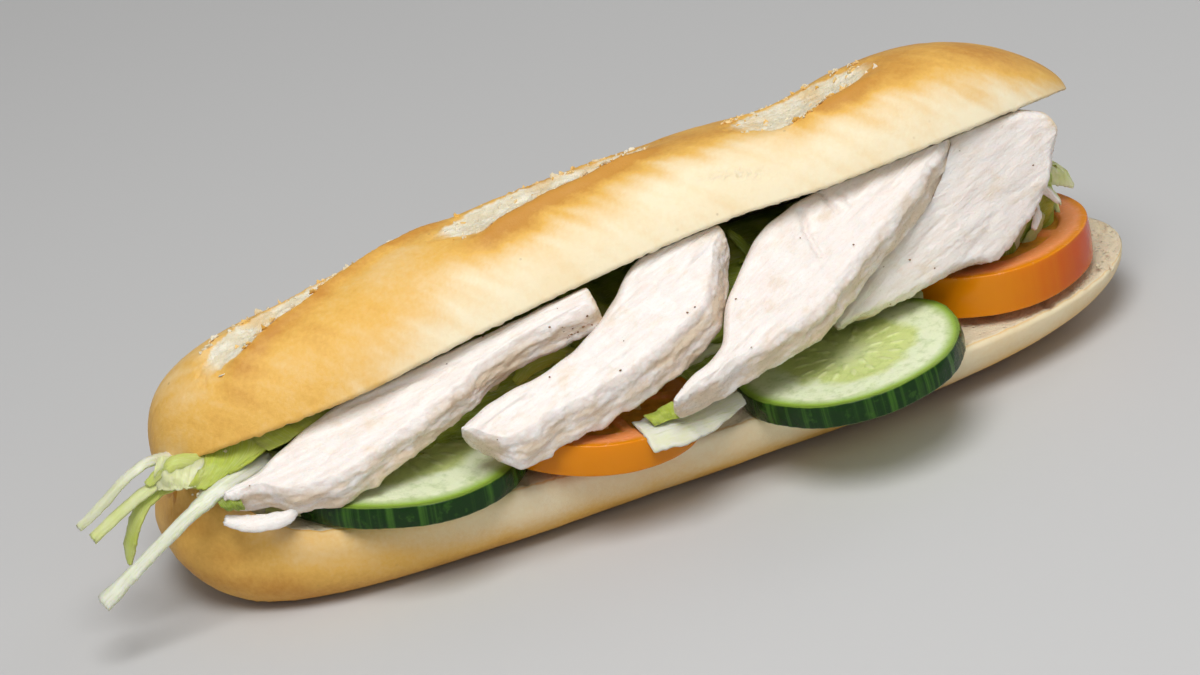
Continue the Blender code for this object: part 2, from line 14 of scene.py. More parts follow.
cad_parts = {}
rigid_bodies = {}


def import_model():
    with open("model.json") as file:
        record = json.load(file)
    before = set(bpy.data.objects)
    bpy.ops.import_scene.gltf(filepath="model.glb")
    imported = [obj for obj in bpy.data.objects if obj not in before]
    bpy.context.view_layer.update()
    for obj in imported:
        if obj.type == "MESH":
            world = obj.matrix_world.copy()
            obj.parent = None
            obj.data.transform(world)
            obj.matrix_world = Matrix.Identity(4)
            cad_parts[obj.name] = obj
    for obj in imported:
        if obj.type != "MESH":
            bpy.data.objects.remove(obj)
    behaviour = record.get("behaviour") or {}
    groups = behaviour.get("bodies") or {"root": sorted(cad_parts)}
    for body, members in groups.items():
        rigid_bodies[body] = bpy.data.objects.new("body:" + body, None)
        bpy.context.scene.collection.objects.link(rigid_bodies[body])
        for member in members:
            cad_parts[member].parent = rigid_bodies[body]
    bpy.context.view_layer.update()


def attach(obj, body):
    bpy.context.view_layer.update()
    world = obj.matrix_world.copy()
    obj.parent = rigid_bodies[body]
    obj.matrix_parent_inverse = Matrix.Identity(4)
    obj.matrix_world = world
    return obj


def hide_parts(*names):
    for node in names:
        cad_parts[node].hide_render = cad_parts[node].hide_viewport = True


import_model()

bl_info = {
    "name": "Submarine Sandwich",
    "version": (1, 0, 0),
    "blender": (4, 5, 0),
    "location": "View3D > Sidebar > Sandwich",
    "description": "Builds a filled submarine sandwich and a plain stage for it",
    "category": "Add Mesh",
}

MM = 0.001
# Room left between pieces that rest on each other
FIT_GAP = 0.3

# Bread roll; the pairs are (share of the half length, value) and set a soft curve from end to end
ROLL_HALF_LENGTH = 112.0
ROLL_HALF_DEPTH = 30.0
ROLL_BOW = 4.5
# At the left end the belly reaches out past the rim by these two lengths, from this far below the rim
BASE_LEFT_STRETCH = 2.8
BASE_LEFT_PULL = 5.0
BELLY_DROP = 20.0
PLAN_ROUNDING = (5.4, 4.4)
BASE_THICKNESS = ((-1.0, 31.2), (-0.96, 30.8), (-0.93, 29.6), (-0.9, 27.2), (-0.86, 23.2), (-0.8, 20.0),
                  (-0.7, 18.3), (-0.5, 17.3), (0.0, 15.6), (0.5, 14.6), (1.0, 13.8))
HINGE_FOOT = 20.5
BASE_END_RISE = (14.5, 2.9)
BASE_FULLNESS = ((-1.0, 0.50), (-0.6, 0.60), (0.0, 0.80), (0.4, 0.86), (1.0, 0.86))
BASE_FLATTENING = 1.3
LID_HALF_LENGTH = 107.5
LID_HALF_DEPTH = 28.0
LID_HEIGHT = ((-1.0, 23.0), (-0.8, 24.2), (-0.62, 25.0), (-0.44, 25.6), (-0.2, 24.4), (0.0, 23.2),
              (0.2, 21.8), (0.4, 21.4), (0.58, 24.2), (0.7, 25.0), (0.8, 24.0), (0.9, 21.4), (1.0, 17.0))
LID_END_ROUNDING = (11.0, 5.0)
LID_CUT_WAVE = ((-1.0, 0.0), (-0.64, -1.7), (-0.35, 0.3), (0.0, 1.9), (0.2, 1.9), (0.42, 0.0), (1.0, -0.4))
LID_CENTRE = (-2.5, 3.0, 40.8)
LID_TILT = 28.3
LID_PITCH = 5.8
CRUMB_SAG = 0.8
HINGE_WALL = 6.0
HINGE_REACH = -0.16
# Baker's cuts on the lid: start and end in its plan, half width
SLASHES = (((-94.0, -14.0), (-28.0, 1.5), 5.2),
           ((-38.0, -15.0), (18.0, -6.0), 6.5),
           ((29.0, -16.0), (69.0, -9.0), 7.0))
SLASH_DEPTH = 1.9
SLASH_LIP = 1.3
FLAKE_ROWS, FLAKE_COLUMNS = 4, 7
FLAKE_THICKNESS = 0.16
# Loose crumbs: centre, spread, count
CRUMB_SPOTS = (((-104.6, -13.4, 31.2), (1.0, 0.8, 0.3), 8), ((-99.5, -10.5, 36.6), (2.4, 0.8, 0.5), 6),
               ((-56.0, -15.0, 48.4), (2.0, 0.6, 0.5), 5), ((102.0, -6.0, 15.0), (3.0, 5.0, 0.3), 8))
CRUMB_SIZES, CRUMB_SEED = (0.25, 0.7), 12
# Angle up the lid's front, in degrees, where the pale flank turns golden, along the roll
LID_PALE_UP_TO = ((-1.0, -60.0), (-0.75, -32.0), (-0.5, -4.0), (-0.3, 14.0), (-0.1, 25.0), (0.1, 30.0),
                  (0.3, 30.0), (0.5, 20.0), (0.7, 10.0), (0.85, 6.0), (1.0, -10.0))

# The same angle down both sides of the lower half. It is set low, so the lower belly is darker: partly the
# crust's own bake, partly painted shade under the roll
BELLY_PALE_UP_TO = ((-1.0, -30.0), (-0.75, -20.0), (-0.45, -4.0), (0.0, 4.0), (0.6, 9.0), (1.0, 4.0))

# Slices of chicken: the edges are (place along the slice, height over its line) pairs, the cracks are
# start, end and depth on its face
CHICKEN = (
    dict(name="chicken_slice_1", thickness=8.4, crest=1.6, seed=3, square=40,
         start=(-101.3, -21.9, 30.6), along=(0.9745, -0.0486, 0.2189), facing=(-0.2126, -0.5112, 0.8328),
         upper=((1.0, 4.0), (6.7, 4.6), (15.8, 7.2), (25.4, 9.4), (34.0, 10.2), (44.0, 9.6), (64.0, 8.8),
                (76.0, 8.2), (87.0, 7.6)),
         lower=((1.0, 0.6), (8.0, -1.6), (12.2, -5.6), (20.2, -8.3), (27.0, -8.6), (38.3, -6.3), (50.3, -4.0),
                (65.0, 0.0), (76.0, 0.0), (87.0, -0.4)),
         cracks=(((30.0, 8.2), (62.0, 3.4), 0.35),)),
    dict(name="chicken_slice_2", thickness=9.6, crest=3.4, seed=11, square=12,
         start=(-48.6, -34.4, 36.1), along=(0.9513, 0.1700, 0.2572), facing=(-0.1105, -0.5908, 0.7992),
         upper=((-2.5, 3.4), (0.0, 4.6), (8.5, 4.3), (21.8, 2.4), (34.6, 4.4), (40.0, 6.8), (49.7, 10.6),
                (60.0, 9.6), (67.5, 7.4)),
         lower=((-2.5, 0.6), (2.5, -9.4), (14.8, -11.3), (27.2, -13.4), (41.5, -13.4), (53.7, -11.5),
                (62.0, -4.6), (67.5, 0.6)), cracks=()),
    dict(name="chicken_slice_3", thickness=9.4, crest=1.6, seed=23, square=10,
         start=(-5.5, -42.1, 32.8), along=(0.9020, 0.3025, 0.3080), facing=(-0.0910, -0.5642, 0.8206),
         upper=((-3.0, 2.2), (2.0, 3.4), (12.8, 3.6), (21.2, 9.4), (28.8, 12.6), (37.5, 15.6), (47.0, 15.4),
                (56.6, 13.2), (71.2, 8.6), (82.5, 4.6)),
         lower=((-3.0, -0.4), (9.4, -3.6), (23.7, -7.3), (32.6, -8.8), (44.9, -7.4), (59.5, -5.9),
                (73.7, -3.6), (82.5, -1.6)),
         cracks=(((48.6, 12.8), (44.6, 7.4), 1.1), ((45.4, 8.4), (42.0, 1.0), 0.9),
                 ((54.2, 13.0), (52.8, 5.4), 1.0), ((57.2, 9.8), (56.0, 4.2), 0.6))),
    dict(name="chicken_slice_4", thickness=9.0, crest=1.2, seed=31, square=30,
         start=(40.1, -24.7, 31.0), along=(0.9364, 0.1417, 0.3210), facing=(0.0507, -0.9598, 0.2760),
         upper=((-6.0, 1.6), (4.9, 4.0), (18.4, 8.0), (29.4, 12.6), (38.6, 16.6), (48.0, 13.4), (53.0, 11.0),
                (58.2, 7.4)),
         lower=((-6.0, -3.6), (12.3, -7.6), (22.9, -9.7), (31.7, -13.2), (38.0, -12.4), (44.0, -10.4),
                (50.0, -7.4), (55.0, -2.6), (58.2, 0.0)), cracks=()),
)
# Thin pieces of chicken: points, widths, thickness, tilt
CHICKEN_FLAP = (((-101.8, -19.3, 26.4), (-97.0, -21.8, 25.1), (-90.5, -23.8, 24.9), (-87.5, -23.4, 25.6)),
                (2.2, 3.7, 3.1, 1.6), 1.2, -0.9)
CHICKEN_SHREDS = (
    (((88, -13.2, 38.6), (90, -13.6, 37.4), (92.4, -14.0, 34.0)), (2.2, 2.0, 1.0), 1.1, 0.9),
    (((86.5, -13.6, 36.5), (87.0, -14.4, 33.4), (85.2, -15.2, 30.2)), (2.6, 2.2, 1.2), 1.1, 0.9),
)

TIP_SPECKS = 16
SPECK_SIZES, SPECK_SEED = (0.10, 0.24), 21

CUCUMBER = (
    dict(name="cucumber_slice_1", centre=(-60.8, -6.2, 20.9), half=(30.0, 27.0), thickness=5.0,
         facing=(0.045, 0.02, 1.0), turn=0.3),
    dict(name="cucumber_slice_2", centre=(35.2, -27.5, 20.0), half=(24.4, 24.4), thickness=5.2,
         facing=(-0.075, 0.085, 1.0), turn=1.2),
)
TOMATO = (
    dict(name="tomato_slice_1", centre=(-19.5, -17.0, 20.9), half=(22.0, 22.0), thickness=7.0, turn=0.5,
         facing=(0.13, 0.02, 1.0)),
    dict(name="tomato_slice_2", centre=(78.8, 0.3, 20.6), half=(23.5, 23.5), thickness=9.6, turn=1.1,
         facing=(0.0, 0.05, 1.0)),
)
TOMATO_WALL = 0.24
TOMATO_POCKETS = 5
TOMATO_POCKET_DEPTH = 1.3
CUT_EDGE = 0.35

# Lettuce strips: points, width, thickness, tilt, then tint (0 white rib, 1 green) and how deep the rib is
STRIPS = (
    (((-97, 5, 30.0), (-102, 2.0, 32.6), (-107.6, -3.4, 36.2), (-113.2, -7.4, 38.4), (-118.8, -7.6, 36.0),
      (-124.1, -6.2, 31.4), (-129.6, -5, 27.4)), (2.2, 2.4, 2.5, 2.3, 2.2, 2.2, 1.7), 0.9, 0.75, 0.08, 0.4),
    (((-84, -9, 29), (-97, -10, 32.6), (-107, -9.6, 35.6), (-112.2, -9.2, 34.0), (-118.0, -8.4, 31.3),
      (-127.6, -7, 25.2)), (3.4, 3.6, 3.2, 2.9, 2.8, 2.5), 1.0, 0.6, 0.26, 0.35),
    (((-84, -9, 30), (-97, -10.5, 33.6), (-106, -9.8, 37.4), (-111.0, -9.6, 36.4), (-114.2, -9.2, 34.4)),
     (3.4, 3.6, 3.4, 2.8, 1.6), 0.9, 0.9, 0.5, 0.2),
    (((-84, -8, 28), (-98, -8, 31.5), (-109.5, -8.2, 33.2), (-115.2, -8, 30.4), (-118.6, -7.5, 25.8),
      (-120.6, -6.8, 20.5), (-121.4, -6.5, 16.4)), (4.0, 4.4, 4.6, 4.0, 4.0, 3.2, 1.0), 0.8, 0.7, 0.50, 0.1),
    (((-88, -9, 32.0), (-97.4, -15.0, 32.8), (-104.5, -17.4, 31.1), (-110.8, -18.5, 28.2),
      (-121.7, -18.5, 21.5), (-130.4, -18.5, 16.2)), (4.4, 4.2, 4.0, 3.8, 3.9, 4.3), 1.9, 0.2, 0.02, 0.6),
)
FRONT_LEAF = (((-15.5, -37.0, 24.8), (-8.0, -36.0, 24.0), (0.0, -34.0, 23.2), (9.0, -31.0, 22.2)),
              (10.0, 11.5, 8.0, 3.0), 0.9, -0.45)
# Leaf pieces between the halves and in front of the slices: rows of points, thickness, tint
LEAVES = (
    ((((-110.4, -7.4, 38.6), (-107.0, -8.2, 38.4), (-103.0, -9.0, 37.0), (-99.5, -9.4, 36.6)),
      ((-112.2, -9.6, 36.6), (-109.0, -11.4, 35.6), (-105.0, -12.4, 35.2), (-100.5, -12.5, 35.0)),
      ((-112.4, -10.4, 33.2), (-109.6, -12.6, 33.0), (-106.4, -14.4, 33.2), (-102.8, -14.4, 33.2))),
     0.6, 0.22),
    ((((-101.4, -9.0, 36.4), (-96.0, -9.0, 38.0), (-90.6, -9.0, 38.4), (-85.0, -9.0, 37.6)),
      ((-103.6, -12.4, 35.6), (-98.6, -13.0, 35.6), (-93.0, -13.0, 36.4), (-87.6, -12.6, 36.2)),
      ((-106.6, -14.2, 33.6), (-103.4, -15.6, 32.6), (-99.0, -15.6, 34.0), (-94.4, -15.0, 35.2))), 0.6, 0.66),
    ((((-92.0, -8.5, 38.4), (-86.5, -8.5, 39.0), (-81.0, -8.0, 39.2), (-75.0, -7.5, 39.2)),
      ((-91.0, -11.5, 37.4), (-86.0, -12.5, 38.2), (-80.0, -12.0, 39.0), (-74.0, -11.0, 39.4)),
      ((-88.5, -13.8, 35.6), (-84.0, -14.6, 36.8), (-79.0, -14.0, 37.8), (-73.0, -13.0, 38.6))), 0.6, 0.62),
    ((((-102.2, -18.6, 30.4), (-100.0, -18.6, 31.0), (-98.0, -19.0, 30.4)),
      ((-101.8, -20.2, 29.8), (-99.6, -20.6, 30.0), (-97.6, -20.8, 29.2)),
      ((-100.6, -19.6, 28.8), (-99.0, -20.2, 28.2), (-97.2, -20.2, 27.8))), 0.5, 1.3),
    ((((-13.4, -33.5, 26.0), (-10.5, -34.0, 27.6), (-6.8, -34.0, 27.2)),
      ((-13.2, -35.6, 26.4), (-10.2, -36.2, 27.4), (-6.6, -36.0, 26.8)),
      ((-12.4, -36.4, 25.2), (-9.8, -37.0, 25.8), (-7.2, -36.6, 25.4))), 0.6, 0.75),
    ((((95.0, 4.0, 36.5), (99.0, 3.2, 35.4), (101.8, 2.2, 32.6)),
      ((96.5, 3.0, 34.0), (99.8, 2.4, 32.6), (102.6, 1.4, 29.6)),
      ((96.0, 2.0, 30.5), (99.2, 1.4, 29.6), (102.2, 0.8, 28.4))), 0.6, 0.16),
)
HEAP_SHREDS = 11
HEAP_ENDS = (-101.0, 96.0)
SHRED_KINDS = 6
SHRED_DENSITY, SHRED_SEED = 16000.0, 3
SHRED_SCALES = (0.7, 1.2)
SHRED_TINTS = (0.15, 1.05)
SHRED_LEAN = 0.35

# Camera, lights and floor, in metres
EYE = (-0.2180, -0.7737, 0.4379)
VIEW_RIGHT = (0.9258, -0.3377, -0.1700)
VIEW_UP = (0.2996, 0.3811, 0.8746)
VIEW_BACK = (-0.2306, -0.8606, 0.4540)
FOCAL, SENSOR_WIDTH = 125.82, 36.0
CLIP = (0.01, 20.0)
AIM = (0.0, 0.0, 0.03)
KEY_PLACE, KEY_SIZE = (-0.14, -0.42, 0.95), 0.6
FILL_PLACE, FILL_SIZE = (-0.10, -0.95, 0.70), 0.8
RIM_PLACE, RIM_SIZE, RIM_SHARE = (0.75, 0.35, 0.45), 0.4, 0.6
FLOOR_REACH = 4


# Curves and small helpers

def smooth(points, x):
    """A soft curve through a few (position, value) pairs."""
    if x <= points[0][0]:
        return points[0][1]
    if x >= points[-1][0]:
        return points[-1][1]
    slopes = []
    for i in range(len(points)):
        a = points[max(i - 1, 0)]
        b = points[min(i + 1, len(points) - 1)]
        slopes.append((b[1] - a[1]) / (b[0] - a[0]))
    for i in range(len(points) - 1):
        (x0, y0), (x1, y1) = points[i], points[i + 1]
        if x <= x1:
            w = x1 - x0
            t = (x - x0) / w
            return ((2 * t ** 3 - 3 * t ** 2 + 1) * y0 + (t ** 3 - 2 * t ** 2 + t) * w * slopes[i]
                    + (-2 * t ** 3 + 3 * t ** 2) * y1 + (t ** 3 - t ** 2) * w * slopes[i + 1])
    return points[-1][1]


def ease(t):
    """Soft rise from 0 to 1 as t goes from 0 to 1."""
    t = min(max(t, 0.0), 1.0)
    return t * t * (3.0 - 2.0 * t)


def step(low, high, x):
    """Soft step that is 0 at low and 1 at high."""
    return ease((x - low) / (high - low))


def power(value, exponent):
    return math.copysign(abs(value) ** exponent, value)


def wave(x, y, z=0.0):
    return noise.noise(Vector((x, y, z)))


def rough(x, y, z=0.0, octaves=4):
    return noise.fractal(Vector((x, y, z)), 0.9, 2.1, octaves)


def add_object(name, data):
    obj = bpy.data.objects.new(name, data)
    bpy.context.scene.collection.objects.link(obj)
    return obj


def object_from(name, bm):
    """A new object made from a bmesh, which is then freed."""
    mesh = bpy.data.meshes.new(name)
    bm.to_mesh(mesh)
    bm.free()
    return add_object(name, mesh)


def evaluated_mesh(obj):
    bpy.context.view_layer.update()
    return bpy.data.meshes.new_from_object(obj.evaluated_get(bpy.context.evaluated_depsgraph_get()))


def skin(name, rings, poles=(None, None)):
    """A closed quad skin over rings of points in mm, with a pole at each end."""
    count = len(rings[0])
    verts = [Vector(p) * MM for ring in rings for p in ring]
    faces = []
    for r in range(len(rings) - 1):
        a, b = r * count, (r + 1) * count
        faces += [(a + i, a + (i + 1) % count, b + (i + 1) % count, b + i) for i in range(count)]
    for start, pole, flip in ((0, poles[0], True), ((len(rings) - 1) * count, poles[1], False)):
        centre = Vector(pole) * MM if pole is not None else sum(verts[start:start + count], Vector()) / count
        verts.append(centre)
        tip = len(verts) - 1
        for i in range(count):
            j = (i + 1) % count
            faces.append((start + j, start + i, tip) if flip else (start + i, start + j, tip))
    mesh = bpy.data.meshes.new(name)
    mesh.from_pydata(verts, [], faces)
    outward(mesh)
    return add_object(name, mesh)


def outward(mesh):
    """Turns a closed mesh the right way round."""
    bm = bmesh.new()
    bm.from_mesh(mesh)
    if bm.calc_volume(signed=True) < 0:
        bmesh.ops.reverse_faces(bm, faces=bm.faces)
    bm.to_mesh(mesh)
    bm.free()
    mesh.update()


def drop(obj):
    mesh = obj.data
    bpy.data.objects.remove(obj)
    bpy.data.meshes.remove(mesh)


def combine(target, other, operation):
    """Joins or carves the target with another closed solid and removes that solid."""
    mod = target.modifiers.new("combine", "BOOLEAN")
    mod.operation = operation
    mod.object = other
    mod.solver = "MANIFOLD"
    mesh = evaluated_mesh(target)
    target.modifiers.remove(mod)
    if len(mesh.polygons) > 3:
        old, target.data = target.data, mesh
        bpy.data.meshes.remove(old)
    drop(other)


def largest_part(obj):
    """Keeps the largest connected part and drops the scraps that carving leaves."""
    bm = bmesh.new()
    bm.from_mesh(obj.data)
    seen, islands = set(), []
    for v in bm.verts:
        if v in seen:
            continue
        stack, island = [v], []
        seen.add(v)
        while stack:
            w = stack.pop()
            island.append(w)
            for e in w.link_edges:
                o = e.other_vert(w)
                if o not in seen:
                    seen.add(o)
                    stack.append(o)
        islands.append(island)
    islands.sort(key=len, reverse=True)
    loose = [v for island in islands[1:] for v in island]
    if loose:
        bmesh.ops.delete(bm, geom=loose, context="VERTS")
    bm.to_mesh(obj.data)
    bm.free()


def join(name, parts, *kept):
    """Joins loose objects into one, with their named vector attributes."""
    verts, faces, values = [], [], {key: [] for key in kept}
    for obj in parts:
        start = len(verts)
        verts += [v.co.copy() for v in obj.data.vertices]
        faces += [[start + i for i in f.vertices] for f in obj.data.polygons]
        for key in kept:
            values[key] += [Vector(entry.vector) for entry in obj.data.attributes[key].data]
    mesh = bpy.data.meshes.new(name)
    mesh.from_pydata(verts, [], faces)
    for obj in parts:
        drop(obj)
    joined = add_object(name, mesh)
    for key in kept:
        store(joined, key, values[key], "FLOAT_VECTOR")
    return joined


def store(obj, name, values, kind="FLOAT"):
    """Writes one value for each vertex as a named attribute."""
    attribute = obj.data.attributes.get(name) or obj.data.attributes.new(name, kind, "POINT")
    if kind == "FLOAT":
        attribute.data.foreach_set("value", [float(v) for v in values])
    else:
        attribute.data.foreach_set("vector", [float(c) for v in values for c in v])


def closed_plates(name, verts, faces):
    """An object of thin closed plates, with its faces turned outwards."""
    mesh = bpy.data.meshes.new(name)
    mesh.from_pydata(verts, [], faces)
    bm = bmesh.new()
    bm.from_mesh(mesh)
    bmesh.ops.recalc_face_normals(bm, faces=bm.faces)
    bm.to_mesh(mesh)
    bm.free()
    return add_object(name, mesh)


def plate_faces(rows, cols, start=0):
    """Faces of a thin plate whose corners are an upper grid and then a lower one, closed round the rim."""
    size = rows * cols
    faces = []
    for i in range(rows - 1):
        for j in range(cols - 1):
            a = start + i * cols + j
            b = a + size
            faces.append((a, a + 1, a + cols + 1, a + cols))
            faces.append((b, b + cols, b + cols + 1, b + 1))
    rim = list(range(cols)) + [cols * i + cols - 1 for i in range(1, rows)]
    rim += [cols * (rows - 1) + j for j in range(cols - 2, -1, -1)]
    rim += [cols * i for i in range(rows - 2, 0, -1)]
    for a, b in zip(rim, rim[1:] + rim[:1]):
        faces.append((start + b, start + a, start + a + size, start + b + size))
    return faces


def settle(obj, material, slot, *nodes, crisp=None):
    """Last step of a piece: material, shading, its body and the solids that it stands for; the slot is not
    used.
    """
    obj.data.materials.clear()
    obj.data.materials.append(material)
    obj.data.shade_smooth()
    if crisp:
        obj.data.set_sharp_from_angle(angle=math.radians(crisp))
    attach(obj, "root")
    if nodes:
        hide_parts(*nodes)
    return obj


# Bread roll

def plan_share(u):
    """How much of the full depth the roll has at a share of its half length."""
    return math.sqrt(max(1.0 - abs(u) ** PLAN_ROUNDING[0 if u < 0 else 1], 0.0))


def stations(count, share=0.5):
    """Shares of the half length from end to end, closer together near the ends."""
    spread = [(1 - share) * (2.0 * i / count - 1.0) - share * math.cos(math.pi * i / count)
              for i in range(1, count)]
    return [-0.9995, -0.998] + [0.996 * u / abs(spread[0]) for u in spread] + [0.998, 0.9995]


def base_rim(u):
    return smooth(BASE_THICKNESS, u)


def base_axis(u):
    return ROLL_BOW * u * u


def base_x(u, share=0.0):
    """Place along the roll; the share is 0 at the rim and 1 under the belly."""
    pull = BASE_LEFT_PULL * (1.0 - share) - BASE_LEFT_STRETCH * share
    return ROLL_HALF_LENGTH * u + pull * max(-u, 0.0) ** 4


def base_depth(u):
    """Depth of the lower half below its rim; the part past the rim's height is flattened under the roll."""
    depth = base_rim(u) * math.sqrt(1.0 - abs(u) ** BASE_END_RISE[0 if u < 0 else 1])
    return depth + BASE_FLATTENING * plan_share(u)


def lid_frame():
    """Place and turn of the lid."""
    pitch = Matrix.Rotation(-math.radians(LID_PITCH), 4, "Y")
    tilt = Matrix.Rotation(-math.radians(LID_TILT), 4, "X")
    return Matrix.Translation(Vector(LID_CENTRE)) @ (pitch @ tilt)


def lid_size(u):
    """Half depth and height of the lid at a share of its half length."""
    half = LID_HALF_DEPTH * plan_share(u)
    ends = math.sqrt(max(1.0 - abs(u) ** LID_END_ROUNDING[0 if u < 0 else 1], 0.0))
    return half, smooth(LID_HEIGHT, u) * ends


def crumb_relief(x, y, depth):
    """Torn crumb: open pores of a few sizes in a soft uneven face."""
    cell = noise.voronoi(Vector((x * 0.42, y * 0.42, 0.3)))[0][0]
    open_here = step(-0.15, 0.35, wave(x * 0.16, y * 0.16, 9.0))
    pores = -step(0.62, 0.15, cell + 0.25 * wave(x * 0.5, y * 0.5, 4.0)) * open_here
    fine = rough(x * 0.6, y * 0.6, 2.0, 3)
    return depth * (1.1 * pores + 0.35 * fine)


def slash_field(x, y, flaky=1.0):
    """Relief, mask and lip strength of the baker's cuts at a point of the lid's plan."""
    total, mask, brown = 0.0, 0.0, 0.0
    for (x0, y0), (x1, y1), half in SLASHES:
        run = math.hypot(x1 - x0, y1 - y0)
        dx, dy = (x1 - x0) / run, (y1 - y0) / run
        s = (x - x0) * dx + (y - y0) * dy
        a = -(x - x0) * dy + (y - y0) * dx
        if s < -2.0 or s > run + 2.0 or abs(a) > half * 2.6 + 3.0:
            continue
        a += 1.2 * wave(x * 0.11, y * 0.05, half)
        ends = ease(s / 12.0) * ease((run - s) / 14.0)
        if ends <= 0.0:
            continue
        jag = 0.9 * wave(s * 0.55, a * 0.3, half) + 0.55 * wave(s * 1.7, a * 0.7, half * 2)
        edge = half * (0.35 + 0.65 * ends)
        inside = step(edge * 1.05 + 0.8, edge * 0.72 - 0.3, abs(a + jag * flaky))
        if abs(a) < half:
            total -= SLASH_DEPTH * ends * (1.0 - (a / half) ** 2) ** 1.2
        layers = math.floor(3.0 * rough(s * 0.22, a * 0.55, half, 3) + 0.5) / 3.0
        total += inside * flaky * (0.55 * layers + 0.45 * rough(s * 0.9, a * 1.3, half, 3) - 0.25)
        front = math.exp(-((a + half * 1.12 + 0.5 * jag) / 1.5) ** 2)
        total += ends * SLASH_LIP * math.exp(-((a + half * 1.15) / 1.7) ** 2)
        total += ends * flaky * front * 0.35 * abs(wave(s * 1.3, 0.0, half))
        back = math.exp(-((a - half * 1.02 + 0.6 * jag) / 1.0) ** 2)
        total += ends * flaky * back * 0.45 * max(wave(s * 1.1, 3.0, half) + 0.15, 0.0)
        mask = max(mask, inside * min(1.0, 0.25 + ends))
        brown = max(brown, ends * math.exp(-((a + half * 1.25) / 2.6) ** 2) * (1.0 - inside))
    return total, mask, brown


def lid_half(name, along=350, around=124, flat=20):
    """The upper half: a dome with three slashes over a cut face, tilted open; looks are for each vertex."""
    turn = lid_frame()
    rings, looks = [], []
    for u in stations(along):
        half, height = lid_size(u)
        lift = smooth(LID_CUT_WAVE, u)
        x = LID_HALF_LENGTH * u
        pale = smooth(LID_PALE_UP_TO, u)
        ring = []
        for i in range(around + 1):
            t = math.pi * i / around
            c, s = power(math.cos(t), 0.9), power(math.sin(t), 0.84)
            y = base_axis(u) * 0.5 - half * c
            z = lift + height * s
            slash, mask, brown = slash_field(x, y)
            fade = min(height / 12.0, 1.0)
            relief = slash * fade + 0.45 * wave(x * 0.05, y * 0.09, 3.7)
            angle = math.degrees(t)
            crease = math.exp(-((x - 25.0) / 7.5) ** 2 - ((angle - 19.5 + 0.7 * (x - 25.0)) / 4.5) ** 2)
            wrinkle = abs(rough(x * 0.40, angle * 0.16, 5.0, 3))
            relief -= crease * (0.20 + 2.4 * wrinkle)
            relief += 0.10 * rough(x * 0.25 + y * 0.1, y * 0.3, z * 0.3, 4)
            streak = rough(x * 0.24 + angle * 0.08, angle * 0.022 - x * 0.02, 11.0, 3)
            relief += 0.05 * streak
            relief *= math.sin(t) ** 0.7
            soft = 9.0 * rough(x * 0.022, angle * 0.02, 1.0, 3) + 13.0 * streak
            bake = step(pale - 14.0, pale + 30.0, angle + soft)
            if u > HINGE_REACH - 0.1:
                bake = min(bake, step(8.0, 48.0, 180.0 - angle + soft))
            bake = bake * (0.78 + 0.16 * wave(x * 0.035, y * 0.06, 6.0) - 0.10 * streak) + 0.30 * brown
            bake = max(bake, 0.10 * step(-0.1, 0.5, streak))
            bake += 0.12 * step(0.90, 1.0, abs(u)) * step(10.0, 40.0, angle)
            # Browner band along the lid's ridge: partly the crust's own bake, partly painted shade that tones
            # down the crust where the key light falls hardest
            bake += 0.14 * math.exp(-((angle - 58.0) / 20.0) ** 2) * step(-0.35, 0.05, u) * (1.0 - mask)
            bake += 0.06 * step(0.45, 0.70, u) * step(22.0, 45.0, angle) - 0.12 * step(-0.30, -0.60, u)
            bake = max(bake - 0.55 * crease, 0.0)
            ring.append(turn @ Vector((x, y - relief * c, z + relief * s)))
            looks.append((bake, 0.0, max(mask * fade, 0.7 * crease * step(0.10, 0.30, wrinkle))))
        ragged = 0.45 * rough(x * 0.5, 1.0, 0.0, 3)
        ring[0].z += ragged
        for i in range(1, flat):
            v = 1.0 - 2.0 * i / flat
            y = base_axis(u) * 0.5 + half * v
            inner = 1.0 - v * v
            pore = crumb_relief(x, y + 200, 1.0) * min(inner * 6.0, 1.0)
            z = lift + CRUMB_SAG * inner * plan_share(u) - pore
            ring.append(turn @ Vector((x, y, z + (ragged * 0.6 if i == flat - 1 else 0.0))))
            looks.append((0.0, 1.0, 0.0))
        rings.append(ring)
    ends = [turn @ Vector((LID_HALF_LENGTH * e, base_axis(e) * 0.5, 0.5)) for e in (-1, 1)]
    looks += [(0.9, 0.0, 0.0), (0.8, 0.0, 0.0)]
    return skin(name, rings, ends), looks


